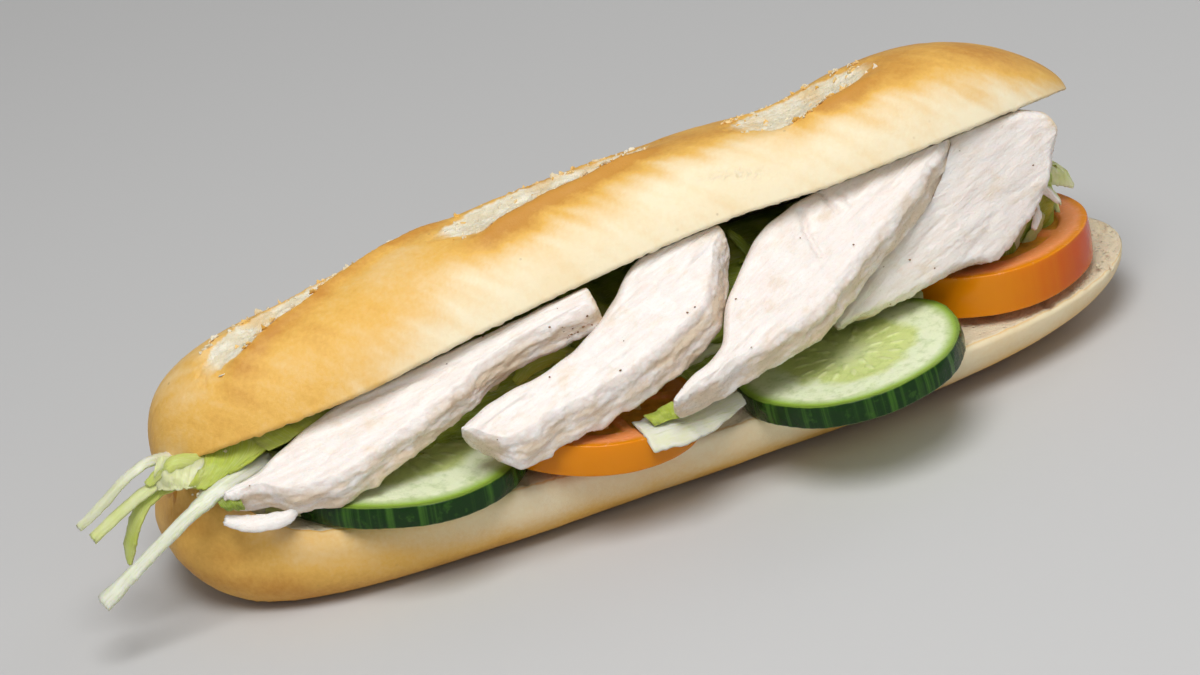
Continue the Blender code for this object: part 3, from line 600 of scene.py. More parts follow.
def base_half(name, along=240, around=64, flat=26):
    """The lower half: a belly with a flat patch under it and a cut face on top."""
    rings, looks = [], []
    for u in stations(along):
        rim, full = base_rim(u), base_depth(u)
        half = ROLL_HALF_DEPTH * plan_share(u)
        shape = smooth(BASE_FULLNESS, u)
        low = smooth(BELLY_PALE_UP_TO, u)
        ring = []
        for i in range(around + 1):
            t = math.pi * i / around
            c, s = power(math.cos(t), shape), power(math.sin(t), shape - 0.1)
            x = base_x(u, ease(full * s / BELLY_DROP))
            y = base_axis(u) - half * c
            z = rim - full * s
            relief = 0.35 * wave(x * 0.06, y * 0.06, z * 0.06) * math.sin(t)
            relief += 0.16 * rough(x * 0.16, y * 0.16, z * 0.3, 4) * math.sin(t)
            crackle = step(0.10, 0.0, abs(wave(x * 0.16, y * 0.2 + z * 0.5, 8.0)))
            relief -= 0.22 * crackle * step(0.1, 0.5, math.sin(t)) * step(-0.45, -0.8, u)
            z = max(z + relief, 0.0)
            y -= 0.4 * relief * c
            angle = min(t, math.pi - t) * 180.0 / math.pi
            front = t < math.pi / 2
            soft = 9.0 * rough(x * 0.03, z * 0.06, 21.0 if front else 31.0, 3)
            # Pale near the rim, golden lower down and browner at the bottom. The pale band sits low, so the
            # lower belly's darker tone is partly the crust's own bake and partly painted shade
            bake = step(low - 8.0, low + 38.0, angle + soft) * (0.82 + 0.2 * wave(x * 0.05, z * 0.2, 13.0))
            bake += 0.35 * step(9.0, 0.0, z) * step(50.0, 80.0, angle)
            ring.append(Vector((x, y, z)))
            looks.append((bake, 0.0, 0.0))
        ragged = 0.35 * rough(x * 0.45, 7.0, 0.0, 3)
        ring[0].z += ragged
        for i in range(1, flat):
            v = 1.0 - 2.0 * i / flat
            y = base_axis(u) + half * v
            inner = 1.0 - v * v
            pore = crumb_relief(base_x(u), y, 1.0) * min(inner * 6.0, 1.0)
            ring.append(Vector((base_x(u), y, rim - CRUMB_SAG * inner * plan_share(u) + pore
                                + (ragged * 0.6 if i == flat - 1 else 0.0))))
            looks.append((1.1, step(-0.955, -0.93, u), 0.0))
        rings.append(ring)
    ends = [(base_x(e), base_axis(e), base_rim(e) - 0.6) for e in (-1, 1)]
    looks += [(1.0, 0.0, 0.0), (0.3, 0.3, 0.0)]
    return skin(name, rings, ends), looks


def hinge_wall(name, upright=22, spans=7):
    """The uncut crust that joins both halves round the left end and along the back."""
    turn = lid_frame()
    path = [(-0.992, -1), (-0.998, -1), (-0.998, 1), (-0.99, 1), (-0.97, 1)]
    back_start, back_keys = -0.94, 14
    path += [(back_start + (HINGE_REACH - back_start) * i / back_keys, 1) for i in range(back_keys + 1)]
    keys = []
    for k, (u, side) in enumerate(path):
        half = ROLL_HALF_DEPTH * plan_share(u)
        low = Vector((base_x(u), base_axis(u) + side * half, min(base_rim(u), HINGE_FOOT)))
        depth = lid_size(u)[0]
        high = turn @ Vector((LID_HALF_LENGTH * u, base_axis(u) * 0.5 + side * depth,
                              smooth(LID_CUT_WAVE, u)))
        sideways = side * (0.2 + 0.8 * min((1.0 + u) * 8.0, 1.0))
        out = Vector((-1.0 if u < -0.9 else 0.0, sideways, 0.0)).normalized()
        wall = HINGE_WALL * (0.35 + 0.65 * ease((len(path) - 1 - k) / 4.0))
        keys.append((low, high, out, wall))
    rings, looks = [], []
    for n in range((len(keys) - 1) * spans + 1):
        k = min(n // spans, len(keys) - 2)
        f = n / spans - k
        low, high, out = (keys[k][j].lerp(keys[k + 1][j], f) for j in range(3))
        wall = keys[k][3] * (1 - f) + keys[k + 1][3] * f
        out.normalize()
        far = step((len(keys) - 3) * spans, (len(keys) - 1) * spans, n)
        ring = []
        for inner in (False, True):
            for i in range(upright + 1):
                share = i / upright
                if inner:
                    share = 1.0 - share
                p = low.lerp(high, share)
                bulge = math.sin(math.pi * share)
                grain = rough(n * 0.30, share * 3.0, 2.0 if inner else 0.0, 4)
                if inner:
                    p = p - out * (wall + 0.9 - 0.6 * grain)
                else:
                    fold = math.exp(-((share - 0.62) / 0.10) ** 2)
                    p = p + out * (1.3 * bulge - 0.7 - 0.5 * fold + 0.30 * grain * bulge)
                foot = 2.6 * (1 - step(0.0, 0.18, share))
                head = (2.6 + (0.45 * wall if inner else 0.0)) * step(0.82, 1.0, share)
                p.z += head - foot
                p.x -= far * bulge * (4.2 + 1.5 * rough(share * 6.0, n * 0.5, 3.0, 3))
                ring.append(p)
                if inner or far >= 0.7:
                    looks.append((0.1, 1.0, 0.0))
                else:
                    looks.append((0.9 + 0.45 * step(5 * spans, 0, n) + 0.2 * grain, 0.0, 0.0))
        rings.append(ring)
    looks += [(1.2, 0.0, 0.0), (0.0, 1.0, 0.0)]
    return skin(name, rings), looks


def plain_roll(name, grow):
    """A coarse, slightly larger copy of the roll that trims what lies against it."""
    rings = []
    for u in [-math.cos(math.pi * i / 44) * 0.999 for i in range(1, 44)]:
        rim = base_rim(u)
        half = ROLL_HALF_DEPTH * plan_share(u) + grow
        full = base_depth(u) + grow
        shape = smooth(BASE_FULLNESS, u)
        ring = []
        for i in range(17):
            t = math.pi * i / 16
            below = full * power(math.sin(t), shape - 0.1)
            ring.append((base_x(u, ease(below / BELLY_DROP)) + grow * u,
                         base_axis(u) - half * power(math.cos(t), shape), rim + grow - below))
        for v in (0.6, 0.2, -0.2, -0.6):
            ring.append((base_x(u) + grow * u, base_axis(u) + half * v,
                         rim + grow - CRUMB_SAG * (1 - v * v) * plan_share(u)))
        rings.append(ring)
    base = skin(name, rings, [(base_x(e) + grow * e, base_axis(e), base_rim(e) - 0.6) for e in (-1, 1)])
    turn = lid_frame()
    rings = []
    for u in [-math.cos(math.pi * i / 50) * 0.999 for i in range(1, 50)]:
        half, height = lid_size(u)
        lift = smooth(LID_CUT_WAVE, u)
        x = (LID_HALF_LENGTH + grow) * u
        ring = []
        for i in range(19):
            t = math.pi * i / 18
            ring.append(turn @ Vector((x, base_axis(u) * 0.5 - (half + grow) * power(math.cos(t), 0.9),
                                       lift - grow + (height + 2 * grow) * power(math.sin(t), 0.84))))
        for v in (0.6, 0.2, -0.2, -0.6):
            ring.append(turn @ Vector((x, base_axis(u) * 0.5 + (half + grow) * v,
                                       lift - grow + CRUMB_SAG * (1 - v * v) * plan_share(u))))
        rings.append(ring)
    lid = skin(name + "_lid", rings, [turn @ Vector(((LID_HALF_LENGTH + grow) * e, base_axis(e) * 0.5, 0.5))
                                      for e in (-1, 1)])
    combine(base, lid, "UNION")
    return base


def flake(rng, centre, normal, along, size):
    """One curled chip of crust: a thin uneven plate standing off the surface."""
    side = normal.cross(along).normalized()
    lean = rng.uniform(0.1, 1.2)
    up = (normal * math.sin(lean) + side * math.cos(lean) * rng.choice((-1, 1))).normalized()
    length, height = size * rng.uniform(0.7, 2.2), size * rng.uniform(0.4, 1.1)
    phase, peak = rng.uniform(0, 20), rng.uniform(-0.35, 0.35)
    rows = []
    for i in range(FLAKE_ROWS):
        v = i / (FLAKE_ROWS - 1)
        row = []
        for j in range(FLAKE_COLUMNS):
            w = j / (FLAKE_COLUMNS - 1) - 0.5
            top = height * (0.75 + 0.9 * wave(j * 1.7 + phase, 0.0)) * max(1.0 - 1.7 * abs(w - peak), 0.05)
            curl = 0.2 * size * v * v + 0.15 * wave(j * 0.8 + phase, v * 2.0)
            row.append(centre + along * (w * length * (1 - 0.3 * v)) + up * (top * v)
                       + normal * (curl - 0.3 * (1 - v)))
        rows.append(row)
    return rows, normal


def plates(name, sheets, thickness):
    """Thin closed plates from grids of points in mm."""
    verts, faces = [], []
    for rows, normal in sheets:
        n, m = len(rows), len(rows[0])
        start = len(verts)
        across = rows[0][-1] - rows[0][0]
        side = across.cross(rows[-1][m // 2] - rows[0][m // 2])
        side = side.normalized() if side.length > 1e-6 else Vector(normal)
        for offset in (0.5, -0.5):
            for row in rows:
                verts += [(p + side * thickness * offset) * MM for p in row]
        faces += plate_faces(n, m, start)
    return closed_plates(name, verts, faces)


def lid_surface(x, y):
    """A point of the lid's crust above a point of its plan, with the way out of the surface."""
    u = x / LID_HALF_LENGTH
    half, height = lid_size(u)
    share = min(max((y - base_axis(u) * 0.5) / half, -0.999), 0.999)
    t = math.acos(-power(share, 1 / 0.9))
    c, s = power(math.cos(t), 0.9), power(math.sin(t), 0.84)
    relief = slash_field(x, y)[0] * min(height / 12.0, 1.0)
    normal = Vector((0.0, -c / half, s / height)).normalized()
    turn = lid_frame()
    place = turn @ Vector((x, y - relief * c, smooth(LID_CUT_WAVE, u) + height * s + relief * s))
    return place, (turn.to_3x3() @ normal).normalized()


def crust_flakes(count, seed):
    """Chips of torn crust along both sides of each slash."""
    rng = random.Random(seed)
    sheets, tone = [], []
    turn = lid_frame().to_3x3()
    for (x0, y0), (x1, y1), half in SLASHES:
        run = math.hypot(x1 - x0, y1 - y0)
        dx, dy = (x1 - x0) / run, (y1 - y0) / run
        for i in range(count):
            s = run * (0.06 + 0.86 * (i + rng.random()) / count)
            ends = ease(s / 9.0) * ease((run - s) / 14.0)
            edge = rng.random()
            if edge < 0.3:
                a = -half * (0.88 + 0.2 * rng.random())
            elif edge < 0.6:
                a = half * (0.9 + 0.3 * rng.random())
            else:
                a = half * rng.uniform(-0.7, 0.7)
            a = a * (0.5 + 0.5 * ends) - 1.2 * wave((x0 + dx * s) * 0.11, (y0 + dy * s) * 0.05, half)
            x, y = x0 + dx * s - dy * a, y0 + dy * s + dx * a
            place, normal = lid_surface(x, y)
            heading = rng.uniform(-0.6, 0.6)
            along = turn @ Vector((dx * math.cos(heading) - dy * math.sin(heading),
                                   dy * math.cos(heading) + dx * math.sin(heading), 0.0))
            along = (along - normal * along.dot(normal)).normalized()
            sheets.append(flake(rng, place + normal * 0.02, normal, along, rng.uniform(0.4, 1.2)))
            tone += [rng.uniform(0.0, 0.6) if rng.random() < 0.9 else 0.8] * (2 * FLAKE_ROWS * FLAKE_COLUMNS)
    obj = plates("crust_flakes", sheets, FLAKE_THICKNESS)
    store(obj, "bake", tone)
    store(obj, "crumb", [0.0] * len(tone))
    store(obj, "slash", [0.7 if t < 0.4 else 0.1 for t in tone])
    return obj


def crumbs(name, places, seed, size):
    """Small torn crumbs scattered at a few places."""
    rng = random.Random(seed)
    bm = bmesh.new()
    for centre, spread, count in places:
        for _ in range(count):
            p = Vector(centre) + Vector([rng.gauss(0, s) for s in spread])
            r = rng.uniform(*size)
            made = bmesh.ops.create_icosphere(bm, subdivisions=2, radius=1.0)
            scale = Vector((r * rng.uniform(0.7, 1.4), r * rng.uniform(0.7, 1.4), r * rng.uniform(0.5, 0.9)))
            shift = rng.uniform(0, 50)
            for v in made["verts"]:
                d = 1.0 + 0.45 * rough(v.co.x * 1.4 + shift, v.co.y * 1.4, v.co.z * 1.4, 3)
                v.co = (Vector((v.co.x * scale.x, v.co.y * scale.y, v.co.z * scale.z)) * d + p) * MM
    return object_from(name, bm)


# Chicken

def chicken_axes(spec):
    """Directions along, across and out of the face of a slice, and its start."""
    along, facing = Vector(spec["along"]).normalized(), Vector(spec["facing"]).normalized()
    facing = (facing - along * facing.dot(along)).normalized()
    return along, facing.cross(along), facing, Vector(spec["start"])


def chicken_profile(spec, s, share, fine):
    """Closed outline of a slice at a place along it, as (across, out of the face) pairs."""
    ends = math.sqrt(max(1.0 - abs(2 * share - 1) ** (spec["square"] if fine and share > 0.5 else 7), 0.0))
    if fine and share > 0.5 and spec["square"] >= 30:
        ends = 0.82 + 0.18 * ends
    grain = wave(s * 0.16, spec["seed"], 0.0)
    up = smooth(spec["upper"], s) + 0.5 * grain
    low = smooth(spec["lower"], s) + 0.7 * wave(s * 0.21, 0.0, spec["seed"])
    mid = 0.5 * (up + low)
    up, low = mid + (up - mid) * (0.55 + 0.45 * ends), mid + (low - mid) * (0.55 + 0.45 * ends)
    thick = spec["thickness"] * (0.62 + 0.38 * ends) * (1.0 + 0.08 * grain)
    edge = min(1.6, 0.22 * (up - low))
    crest = low + min(spec["crest"], 0.3 * (up - low))
    points = [(up, -edge * 0.8), (up - edge, 0.0)]
    for i in range(1, 5):
        w = up - edge + (crest + 2 * edge - up) * i / 5
        points.append((w, 0.5 * wave(s * 0.12, w * 0.4, spec["seed"])))
    points += [(crest + edge, 0.0), (crest, -edge), (0.5 * (crest + low), -0.5 * thick),
               (low, -thick + edge), (low + edge, -thick), (mid, -thick), (up - edge, -thick),
               (up, -thick + edge)]
    parts = (3, 9, 9, 9, 9, 7, 4, 9, 8, 3, 4, 4, 3, 6) if fine else (1,) * 14
    dense = []
    for k, n in enumerate(parts):
        a, b = points[k], points[(k + 1) % len(points)]
        dense += [(a[0] + (b[0] - a[0]) * i / n, a[1] + (b[1] - a[1]) * i / n) for i in range(n)]
    for _ in range(3 if fine else 0):
        dense = [tuple(0.5 * dense[i][j] + 0.25 * (dense[i - 1][j] + dense[(i + 1) % len(dense)][j])
                       for j in range(2)) for i in range(len(dense))]
    return dense, thick, crest


def chicken_relief(spec, s, w, h, thick, crest):
    """Meat grain, soft lumps, small cracks and a crumbly edge, in mm out of the surface."""
    seed = spec["seed"]
    fibre = wave(s * 0.09, w * 1.3 + 0.3 * wave(s * 0.1, w * 0.2, seed), seed)
    fibre += 0.5 * wave(s * 0.22, w * 2.6, seed + 4.0)
    lumps = rough(s * 0.10, w * 0.16, h * 0.2 + seed, 4)
    on_face = step(-1.4, 0.0, h)
    front = step(crest + 2.0, crest - 0.5, w) * step(-thick, -thick + 1.5, h)
    out = on_face * (0.065 * fibre + 0.32 * lumps)
    parted = abs(wave(s * 0.040 + 0.02 * w, w * 0.34, seed + 9.0))
    out -= on_face * 0.30 * step(0.10, 0.0, parted) * step(-0.1, 0.3, wave(s * 0.06, w * 0.1, seed + 2.0))
    out += front * (0.60 * rough(s * 0.13, w * 0.4, h * 0.4, 4) + 0.20 * rough(s * 0.9, w * 1.1, h * 1.3, 3))
    lip = math.exp(-((w - crest) / 1.5) ** 2) * step(-3.0, -0.5, h)
    out += lip * 0.60 * max(rough(s * 0.7, w * 0.5, seed, 3), -0.3)
    for (s0, w0), (s1, w1), deep in spec["cracks"]:
        run = math.hypot(s1 - s0, w1 - w0)
        ds, dw = (s1 - s0) / run, (w1 - w0) / run
        a = (s - s0) * ds + (w - w0) * dw
        b = -(s - s0) * dw + (w - w0) * ds + 0.35 * wave(a * 0.8, s0, 0.0)
        if -0.5 < a < run + 0.5:
            out -= on_face * deep * math.exp(-(b / 0.55) ** 2) * ease(a / 1.2) * ease((run - a) / 1.2)
    return out


def chicken_slice(spec, grow=0.0, fine=True):
    """A slice of chicken, or a coarse and slightly larger copy that trims its neighbours."""
    along, across, facing, start = chicken_axes(spec)
    s0, s1 = spec["upper"][0][0] - grow, spec["upper"][-1][0] + grow
    count = 170 if fine else 15
    rings = []
    for k in range(count + 1):
        share = k / count
        s = s0 + (s1 - s0) * (0.5 - 0.5 * math.cos(math.pi * share) * (0.35 + 0.65 * abs(2 * share - 1)))
        outline, thick, crest = chicken_profile(spec, s, share, fine)
        centre = [sum(p[j] for p in outline) / len(outline) for j in range(2)]
        ring = []
        for i, (w, h) in enumerate(outline):
            a, b = outline[i - 1], outline[(i + 1) % len(outline)]
            tw, th = b[0] - a[0], b[1] - a[1]
            size = math.hypot(tw, th) or 1.0
            nw, nh = -th / size, tw / size
            if nw * (w - centre[0]) + nh * (h - centre[1]) < 0:
                nw, nh = -nw, -nh
            out = chicken_relief(spec, s, w, h, thick, crest) if fine else 0.0
            if grow:
                w += grow if nw > 0 else -grow
                h += grow if h > -0.5 * thick else -grow
            ring.append(start + along * s + across * (w + nw * out) + facing * (h + nh * out))
        if fine and k in (0, count):
            middle = sum(ring, Vector()) / len(ring)
            caps = []
            for f in (0.9, 0.7, 0.45, 0.2):
                push = (1.0 - f) * (-0.8 if k == 0 else 0.3)
                caps.append([middle + (p - middle) * f + along * (push + 0.3 * wave(*(p * f * 0.6)))
                             for p in ring])
            rings += (caps[::-1] + [ring]) if k == 0 else ([ring] + caps)
        else:
            rings.append(ring)
    return skin(spec["name"], rings)


# Round slices

def disc_frame(spec):
    """Place and turn of a round slice."""
    facing = Vector(spec["facing"]).normalized()
    turn = facing.to_track_quat("Z", "Y").to_matrix().to_4x4()
    return Matrix.Translation(Vector(spec["centre"])) @ turn


def disc_wobble(t, a):
    """How far a round slice is out of round at an angle."""
    return 1.0 + 0.012 * math.sin(3 * t + a) + 0.008 * math.sin(5 * t)


def plain_disc(spec, grow, sides=40):
    """A coarse, slightly larger copy of a round slice."""
    place = disc_frame(spec)
    a, b = spec["half"][0] + grow, spec["half"][1] + grow
    half = spec["thickness"] / 2 + grow
    rings = []
    for r, h in ((0.5, 1), (0.98, 1), (1.0, 0.8), (1.0, -0.8), (0.98, -1), (0.5, -1)):
        ring = []
        for i in range(sides):
            t = 2 * math.pi * i / sides
            reach = r * disc_wobble(t, a)
            ring.append(place @ Vector((a * reach * math.cos(t), b * reach * math.sin(t), half * h)))
        rings.append(ring)
    return skin("cutter", rings, [place @ Vector((0, 0, half * e)) for e in (1, -1)])


def cucumber_seeds(x, y, turn):
    """How much a point of the face, as shares of the radius, lies on a seed, and in the wet seed zone."""
    r = math.hypot(x, y)
    t = math.atan2(y, x)
    lobe = 0.5 + 0.5 * math.cos(3 * t + turn)
    zone = step(0.62 + 0.05 * lobe, 0.50 + 0.05 * lobe, r + 0.03 * wave(3 * x, 3 * y, turn))
    best = 0.0
    for ring, count, length in ((0.44, 17, 0.085), (0.27, 10, 0.075)):
        k = round((t - turn * ring) / (2 * math.pi) * count)
        c = 2 * math.pi * k / count + turn * ring + 0.09 * wave(k * 3.1, ring * 9, turn)
        centre = ring + 0.05 * wave(k * 1.7, ring * 5, 2.0)
        dr, dt = (r - centre) / length, (t - c) * r / 0.030
        best = max(best, step(1.0, 0.55, math.hypot(dr, dt * (1.0 + 0.4 * dr))))
    return zone, best * zone


def tomato_pockets(x, y, turn):
    """How far a point of the face lies inside a seed pocket."""
    r = math.hypot(x, y)
    t = math.atan2(y, x)
    phase = (t / (2 * math.pi) * TOMATO_POCKETS + turn + 0.06 * wave(2 * x, 2 * y, turn)) % 1.0
    side = min(phase, 1.0 - phase) * 2 * math.pi / TOMATO_POCKETS * r
    wall = 1.0 - TOMATO_WALL - 0.015 + 0.02 * wave(t * 2.0, turn, 5.0)
    return step(0.035, 0.085, side) * step(wall, wall - 0.05, r) * step(0.20, 0.27, r)


def round_slice(spec, kind, sides=220, faces=54):
    """A cut slice with its skin, its flesh and its seeds, as a dense round mesh."""
    place = disc_frame(spec)
    a, b = spec["half"]
    half = spec["thickness"] / 2
    edge = CUT_EDGE
    profile = [((i / faces) ** 0.85 * (1 - edge / a), 1.0) for i in range(2, faces + 1)]
    for i in range(1, 6):
        c = math.pi / 2 * i / 5
        profile.append((1 - edge / a + edge / a * math.sin(c), 1.0 - edge / half * (1 - math.cos(c))))
    for i in range(1, 12):
        profile.append((1.0, 1 - edge / half - (2 - 2 * edge / half) * i / 12))
    for i in range(0, 6):
        c = math.pi / 2 * (1 - i / 5)
        profile.append((1 - edge / a + edge / a * math.sin(c), -1.0 + edge / half * (1 - math.cos(c))))
    profile += [((i / 24) * (1 - edge / a), -1.0) for i in range(23, 1, -1)]
    rings = []
    for k, (r, h) in enumerate(profile):
        ring = []
        for i in range(sides):
            t = 2 * math.pi * i / sides
            x, y = r * math.cos(t), r * math.sin(t)
            z = half * h
            bulge = 0.0
            if abs(h) < 0.999 and r > 0.97:
                bulge = 0.010 * (1 - h * h)
                if kind == "cucumber":
                    bulge += 0.006 * rough(t * 14.0, h * 1.2, spec["turn"], 3) + 0.004 * math.sin(t * 10)
                else:
                    bulge += 0.003 * wave(t * 5.0, h, spec["turn"])
            if h > 0.999:
                if kind == "cucumber":
                    zone, seed = cucumber_seeds(x, y, spec["turn"])
                    z -= 0.16 * zone - 0.24 * seed
                    z += 0.05 * rough(x * 9, y * 9, 1.0, 3) - 0.06 * step(0.90, 0.98, r)
                else:
                    pocket = tomato_pockets(x, y, spec["turn"])
                    gel = 0.35 * rough(x * 7, y * 7, 3.0, 2)
                    z -= pocket * (TOMATO_POCKET_DEPTH * 0.8 + gel)
                    z += 0.06 * rough(x * 8, y * 8, 1.0, 3)
            scale = disc_wobble(t, a) + bulge
            ring.append(place @ Vector((a * x * scale, b * y * scale, z)))
        rings.append(ring)
    return skin(spec["name"], rings, [place @ Vector((0, 0, half * e)) for e in (1, -1)])


def mark_disc(obj, spec, kind):
    """Attributes of a slice: place on the face, skin, seeds."""
    back = disc_frame(spec).inverted()
    a, b = spec["half"]
    half = spec["thickness"] / 2
    disc, rind, seeds = [], [], []
    for v in obj.data.vertices:
        q = back @ (v.co / MM)
        t = math.atan2(q.y / b, q.x / a)
        x, y = q.x / a / disc_wobble(t, a), q.y / b / disc_wobble(t, a)
        r = math.hypot(x, y)
        disc.append((x, y, q.z / half))
        rind.append(step(0.985, 0.997, r) * step(0.99, 0.90, abs(q.z / half)))
        if kind == "cucumber":
            seeds.append(cucumber_seeds(x, y, spec["turn"])[1])
        else:
            seeds.append(tomato_pockets(x, y, spec["turn"]) if q.z > 0 else 0.0)
    store(obj, "disc", disc, "FLOAT_VECTOR")
    store(obj, "rind", rind)
    store(obj, "seeds", seeds)


def tomato_seeds(spec, count, seed):
    """Flat pale seeds lying in the gel of the pockets."""
    rng = random.Random(seed)
    place = disc_frame(spec)
    bm = bmesh.new()
    made = 0
    while made < count:
        t, r = rng.uniform(0, 2 * math.pi), rng.uniform(0.32, 0.70)
        x, y = r * math.cos(t), r * math.sin(t)
        if tomato_pockets(x, y, spec["turn"]) < 0.9:
            continue
        made += 1
        z = spec["thickness"] / 2 - TOMATO_POCKET_DEPTH * 0.8 + 0.15
        middle = Vector((spec["half"][0] * x, spec["half"][1] * y, z))
        heading = t + rng.uniform(-0.7, 0.7)
        ball = bmesh.ops.create_uvsphere(bm, u_segments=14, v_segments=8, radius=1.0)
        for v in ball["verts"]:
            p = Vector((v.co.x * 1.4, v.co.y * 0.9 * (1.0 - 0.35 * v.co.x), v.co.z * 0.4))
            v.co = (place @ (middle + Matrix.Rotation(heading, 3, "Z") @ p)) * MM
    return object_from(spec["name"] + "_seeds", bm)


# Lettuce

def ribbon(name, points, widths, thickness, tilt=0.0, steps=16, across=8, ripple=0.25, jag=0.12, rib=0.0,
           seed=0.0):
    """A crisp wavy strip through a few points, with uneven edges and, where asked, a raised rib."""
    pts = [Vector(p) for p in points]
    keys = [[(i, p[k]) for i, p in enumerate(pts)] for k in range(3)]
    if not isinstance(widths, (tuple, list)):
        widths = [widths] * len(pts)
    width_keys = list(enumerate(widths))
    rings, run = [], []
    total = (len(pts) - 1) * steps
    lengths = [0.0]
    for a, b in zip(pts, pts[1:]):
        lengths.append(lengths[-1] + (b - a).length)
    length_keys = list(enumerate(lengths))
    for i in range(total + 1):
        s = i / steps
        p = Vector([smooth(keys[k], s) for k in range(3)])
        q = Vector([smooth(keys[k], s + 0.05) - smooth(keys[k], s - 0.05) for k in range(3)])
        along = q.normalized()
        side = along.cross(Vector((0, 0, 1)))
        side = side.normalized() if side.length > 1e-4 else Vector((0, 1, 0))
        turn = tilt + 0.25 * math.sin(1.3 * s + 0.6)
        normal = side.cross(along).normalized()
        side, normal = (side * math.cos(turn) + normal * math.sin(turn),
                        normal * math.cos(turn) - side * math.sin(turn))
        w = smooth(width_keys, s) / 2
        end = ease(min(i, total - i) / 1.5 + 0.35)
        top, bottom = [], []
        for j in range(across + 1):
            v = 2.0 * j / across - 1.0
            edge = 1.0 + jag * rough(s * 3.1 + seed, 4.0 if v > 0 else 9.0, seed, 3)
            lift = -0.18 * w * v * v + ripple * w * 0.5 * wave(s * 1.9 + seed, v * 0.9, seed + 3.0) * abs(v)
            lift += 0.06 * thickness * math.sin(j * 2.4 + 0.5)
            body = thickness * (0.30 + 0.20 * (1 - v * v)) * end
            body += rib * thickness * 0.35 * math.exp(-(v / 0.45) ** 2)
            place = p + side * (w * v * edge) + normal * lift
            place += along * (0.5 * wave(v * 3.0, seed, 0.0) if i in (0, total) else 0.0)
            grain = 0.05 * thickness * wave(s * 6.0, v * 5.0, seed + 7.0)
            top.append(place + normal * (body + grain))
            bottom.append(place - normal * body * 0.8)
        rings.append(top + bottom[::-1])
        so_far = smooth(length_keys, s)
        spots = [(so_far, w * (2.0 * j / across - 1.0), 10.0 * seed) for j in range(across + 1)]
        run += spots + spots[::-1]
    made = skin(name, rings)
    store(made, "run", run + [run[0], run[-1]], "FLOAT_VECTOR")
    return made


def sheet(name, rows, thickness, seed, ripple=0.8, fine=(20, 30)):
    """A leaf piece through a small grid of points, with waved faces and a torn edge."""
    n, m = len(rows), len(rows[0])
    along = [[[(j, rows[i][j][k]) for j in range(m)] for k in range(3)] for i in range(n)]

    def place(v, w):
        column = [[(i, smooth(along[i][k], w)) for i in range(n)] for k in range(3)]
        return Vector([smooth(column[k], v) for k in range(3)])

    grid = []
    for a in range(fine[0] + 1):
        line = []
        for b in range(fine[1] + 1):
            v, w = (n - 1) * a / fine[0], (m - 1) * b / fine[1]
            torn = 0.10 * rough(w * 4.0 + seed, 1.0, seed, 3)
            v = min(max(v * (1.0 + torn * (a / fine[0]) ** 3), 0.0), n - 1.0)
            p = place(v, w)
            normal = (place(v, min(w + 0.05, m - 1)) - place(v, max(w - 0.05, 0))).cross(
                place(min(v + 0.05, n - 1), w) - place(max(v - 0.05, 0), w))
            normal = normal.normalized() if normal.length > 1e-9 else Vector((0, 0, 1))
            fold = ripple * wave(w * 1.7 + seed, v * 0.9, seed)
            fold += 0.25 * ripple * rough(w * 3.0, v * 3.0, seed, 3)
            line.append((p + normal * fold, normal))
        grid.append(line)
    verts, run = [], []
    cols = fine[1] + 1
    for sign in (0.5, -0.5):
        for a, line in enumerate(grid):
            verts += [(p + normal * (thickness * sign)) * MM for p, normal in line]
            run += [(6.0 * a / fine[0], 16.0 * b / fine[1] - 8.0, 10.0 * seed) for b in range(cols)]
    obj = closed_plates(name, verts, plate_faces(fine[0] + 1, cols))
    store(obj, "run", run, "FLOAT_VECTOR")
    return obj


def lid_underside(x, y):
    """Height of the lid's cut face over a point of the plan."""
    turn = lid_frame()
    origin = turn.translation
    normal = turn.to_3x3() @ Vector((0, 0, 1))
    local = (x - origin.x) / (LID_HALF_LENGTH * math.cos(math.radians(LID_PITCH)))
    lift = smooth(LID_CUT_WAVE, local)
    fall = normal.x * (x - origin.x) + normal.y * (y - origin.y)
    return origin.z - fall / normal.z + lift / normal.z


def heap_core(name, count=110, around=70):
    """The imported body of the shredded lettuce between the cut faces, with the relief of pressed shreds."""
    rings = []
    x0, x1 = HEAP_ENDS
    for k in range(count + 1):
        x = x0 + (x1 - x0) * k / count
        u = x / ROLL_HALF_LENGTH
        ends = math.sqrt(max(1.0 - abs(2.0 * k / count - 1.0) ** 6, 0.0)) * 0.75 + 0.25
        half = ROLL_HALF_DEPTH * plan_share(u)
        wall = HINGE_WALL + 3.0 if u < HINGE_REACH + 0.08 else 3.5
        back = base_axis(u) + (half - wall) * ends
        high = lid_underside(x, back * 0.5) - 1.0
        low = min(base_rim(u) - 0.2, high - 3.0)
        mid_z, half_z = 0.5 * (low + high), 0.5 * (high - low) * ends
        ring = []
        for i in range(around):
            t = 2 * math.pi * i / around
            c, s = power(math.cos(t), 0.6), power(math.sin(t), 0.6)
            z = mid_z + half_z * s
            if u > -0.72:
                depth = 20.0 + 11.0 * ease((z - 22.0) / 22.0)
                front = -(depth - 0.387 * z) / 0.92 * ends
            else:
                front = base_axis(u) - (half - 3.5) * ends
            y = 0.5 * (back + front) + 0.5 * (back - front) * c
            z = min(z + 1.6 * max(s, 0.0), lid_underside(x, y) + 0.6)
            n = wave(x * 0.13, y * 0.13, z * 0.13)
            strands = abs(rough(x * 0.14 + z * 0.1, z * 0.32, y * 0.2, 3))
            y += (1.3 * n - 2.2 * strands) * c
            z += (0.9 * n - 0.8 * strands) * min(s, 0.0)
            ring.append((x, y, z))
        rings.append(ring)
    return skin(name, rings)


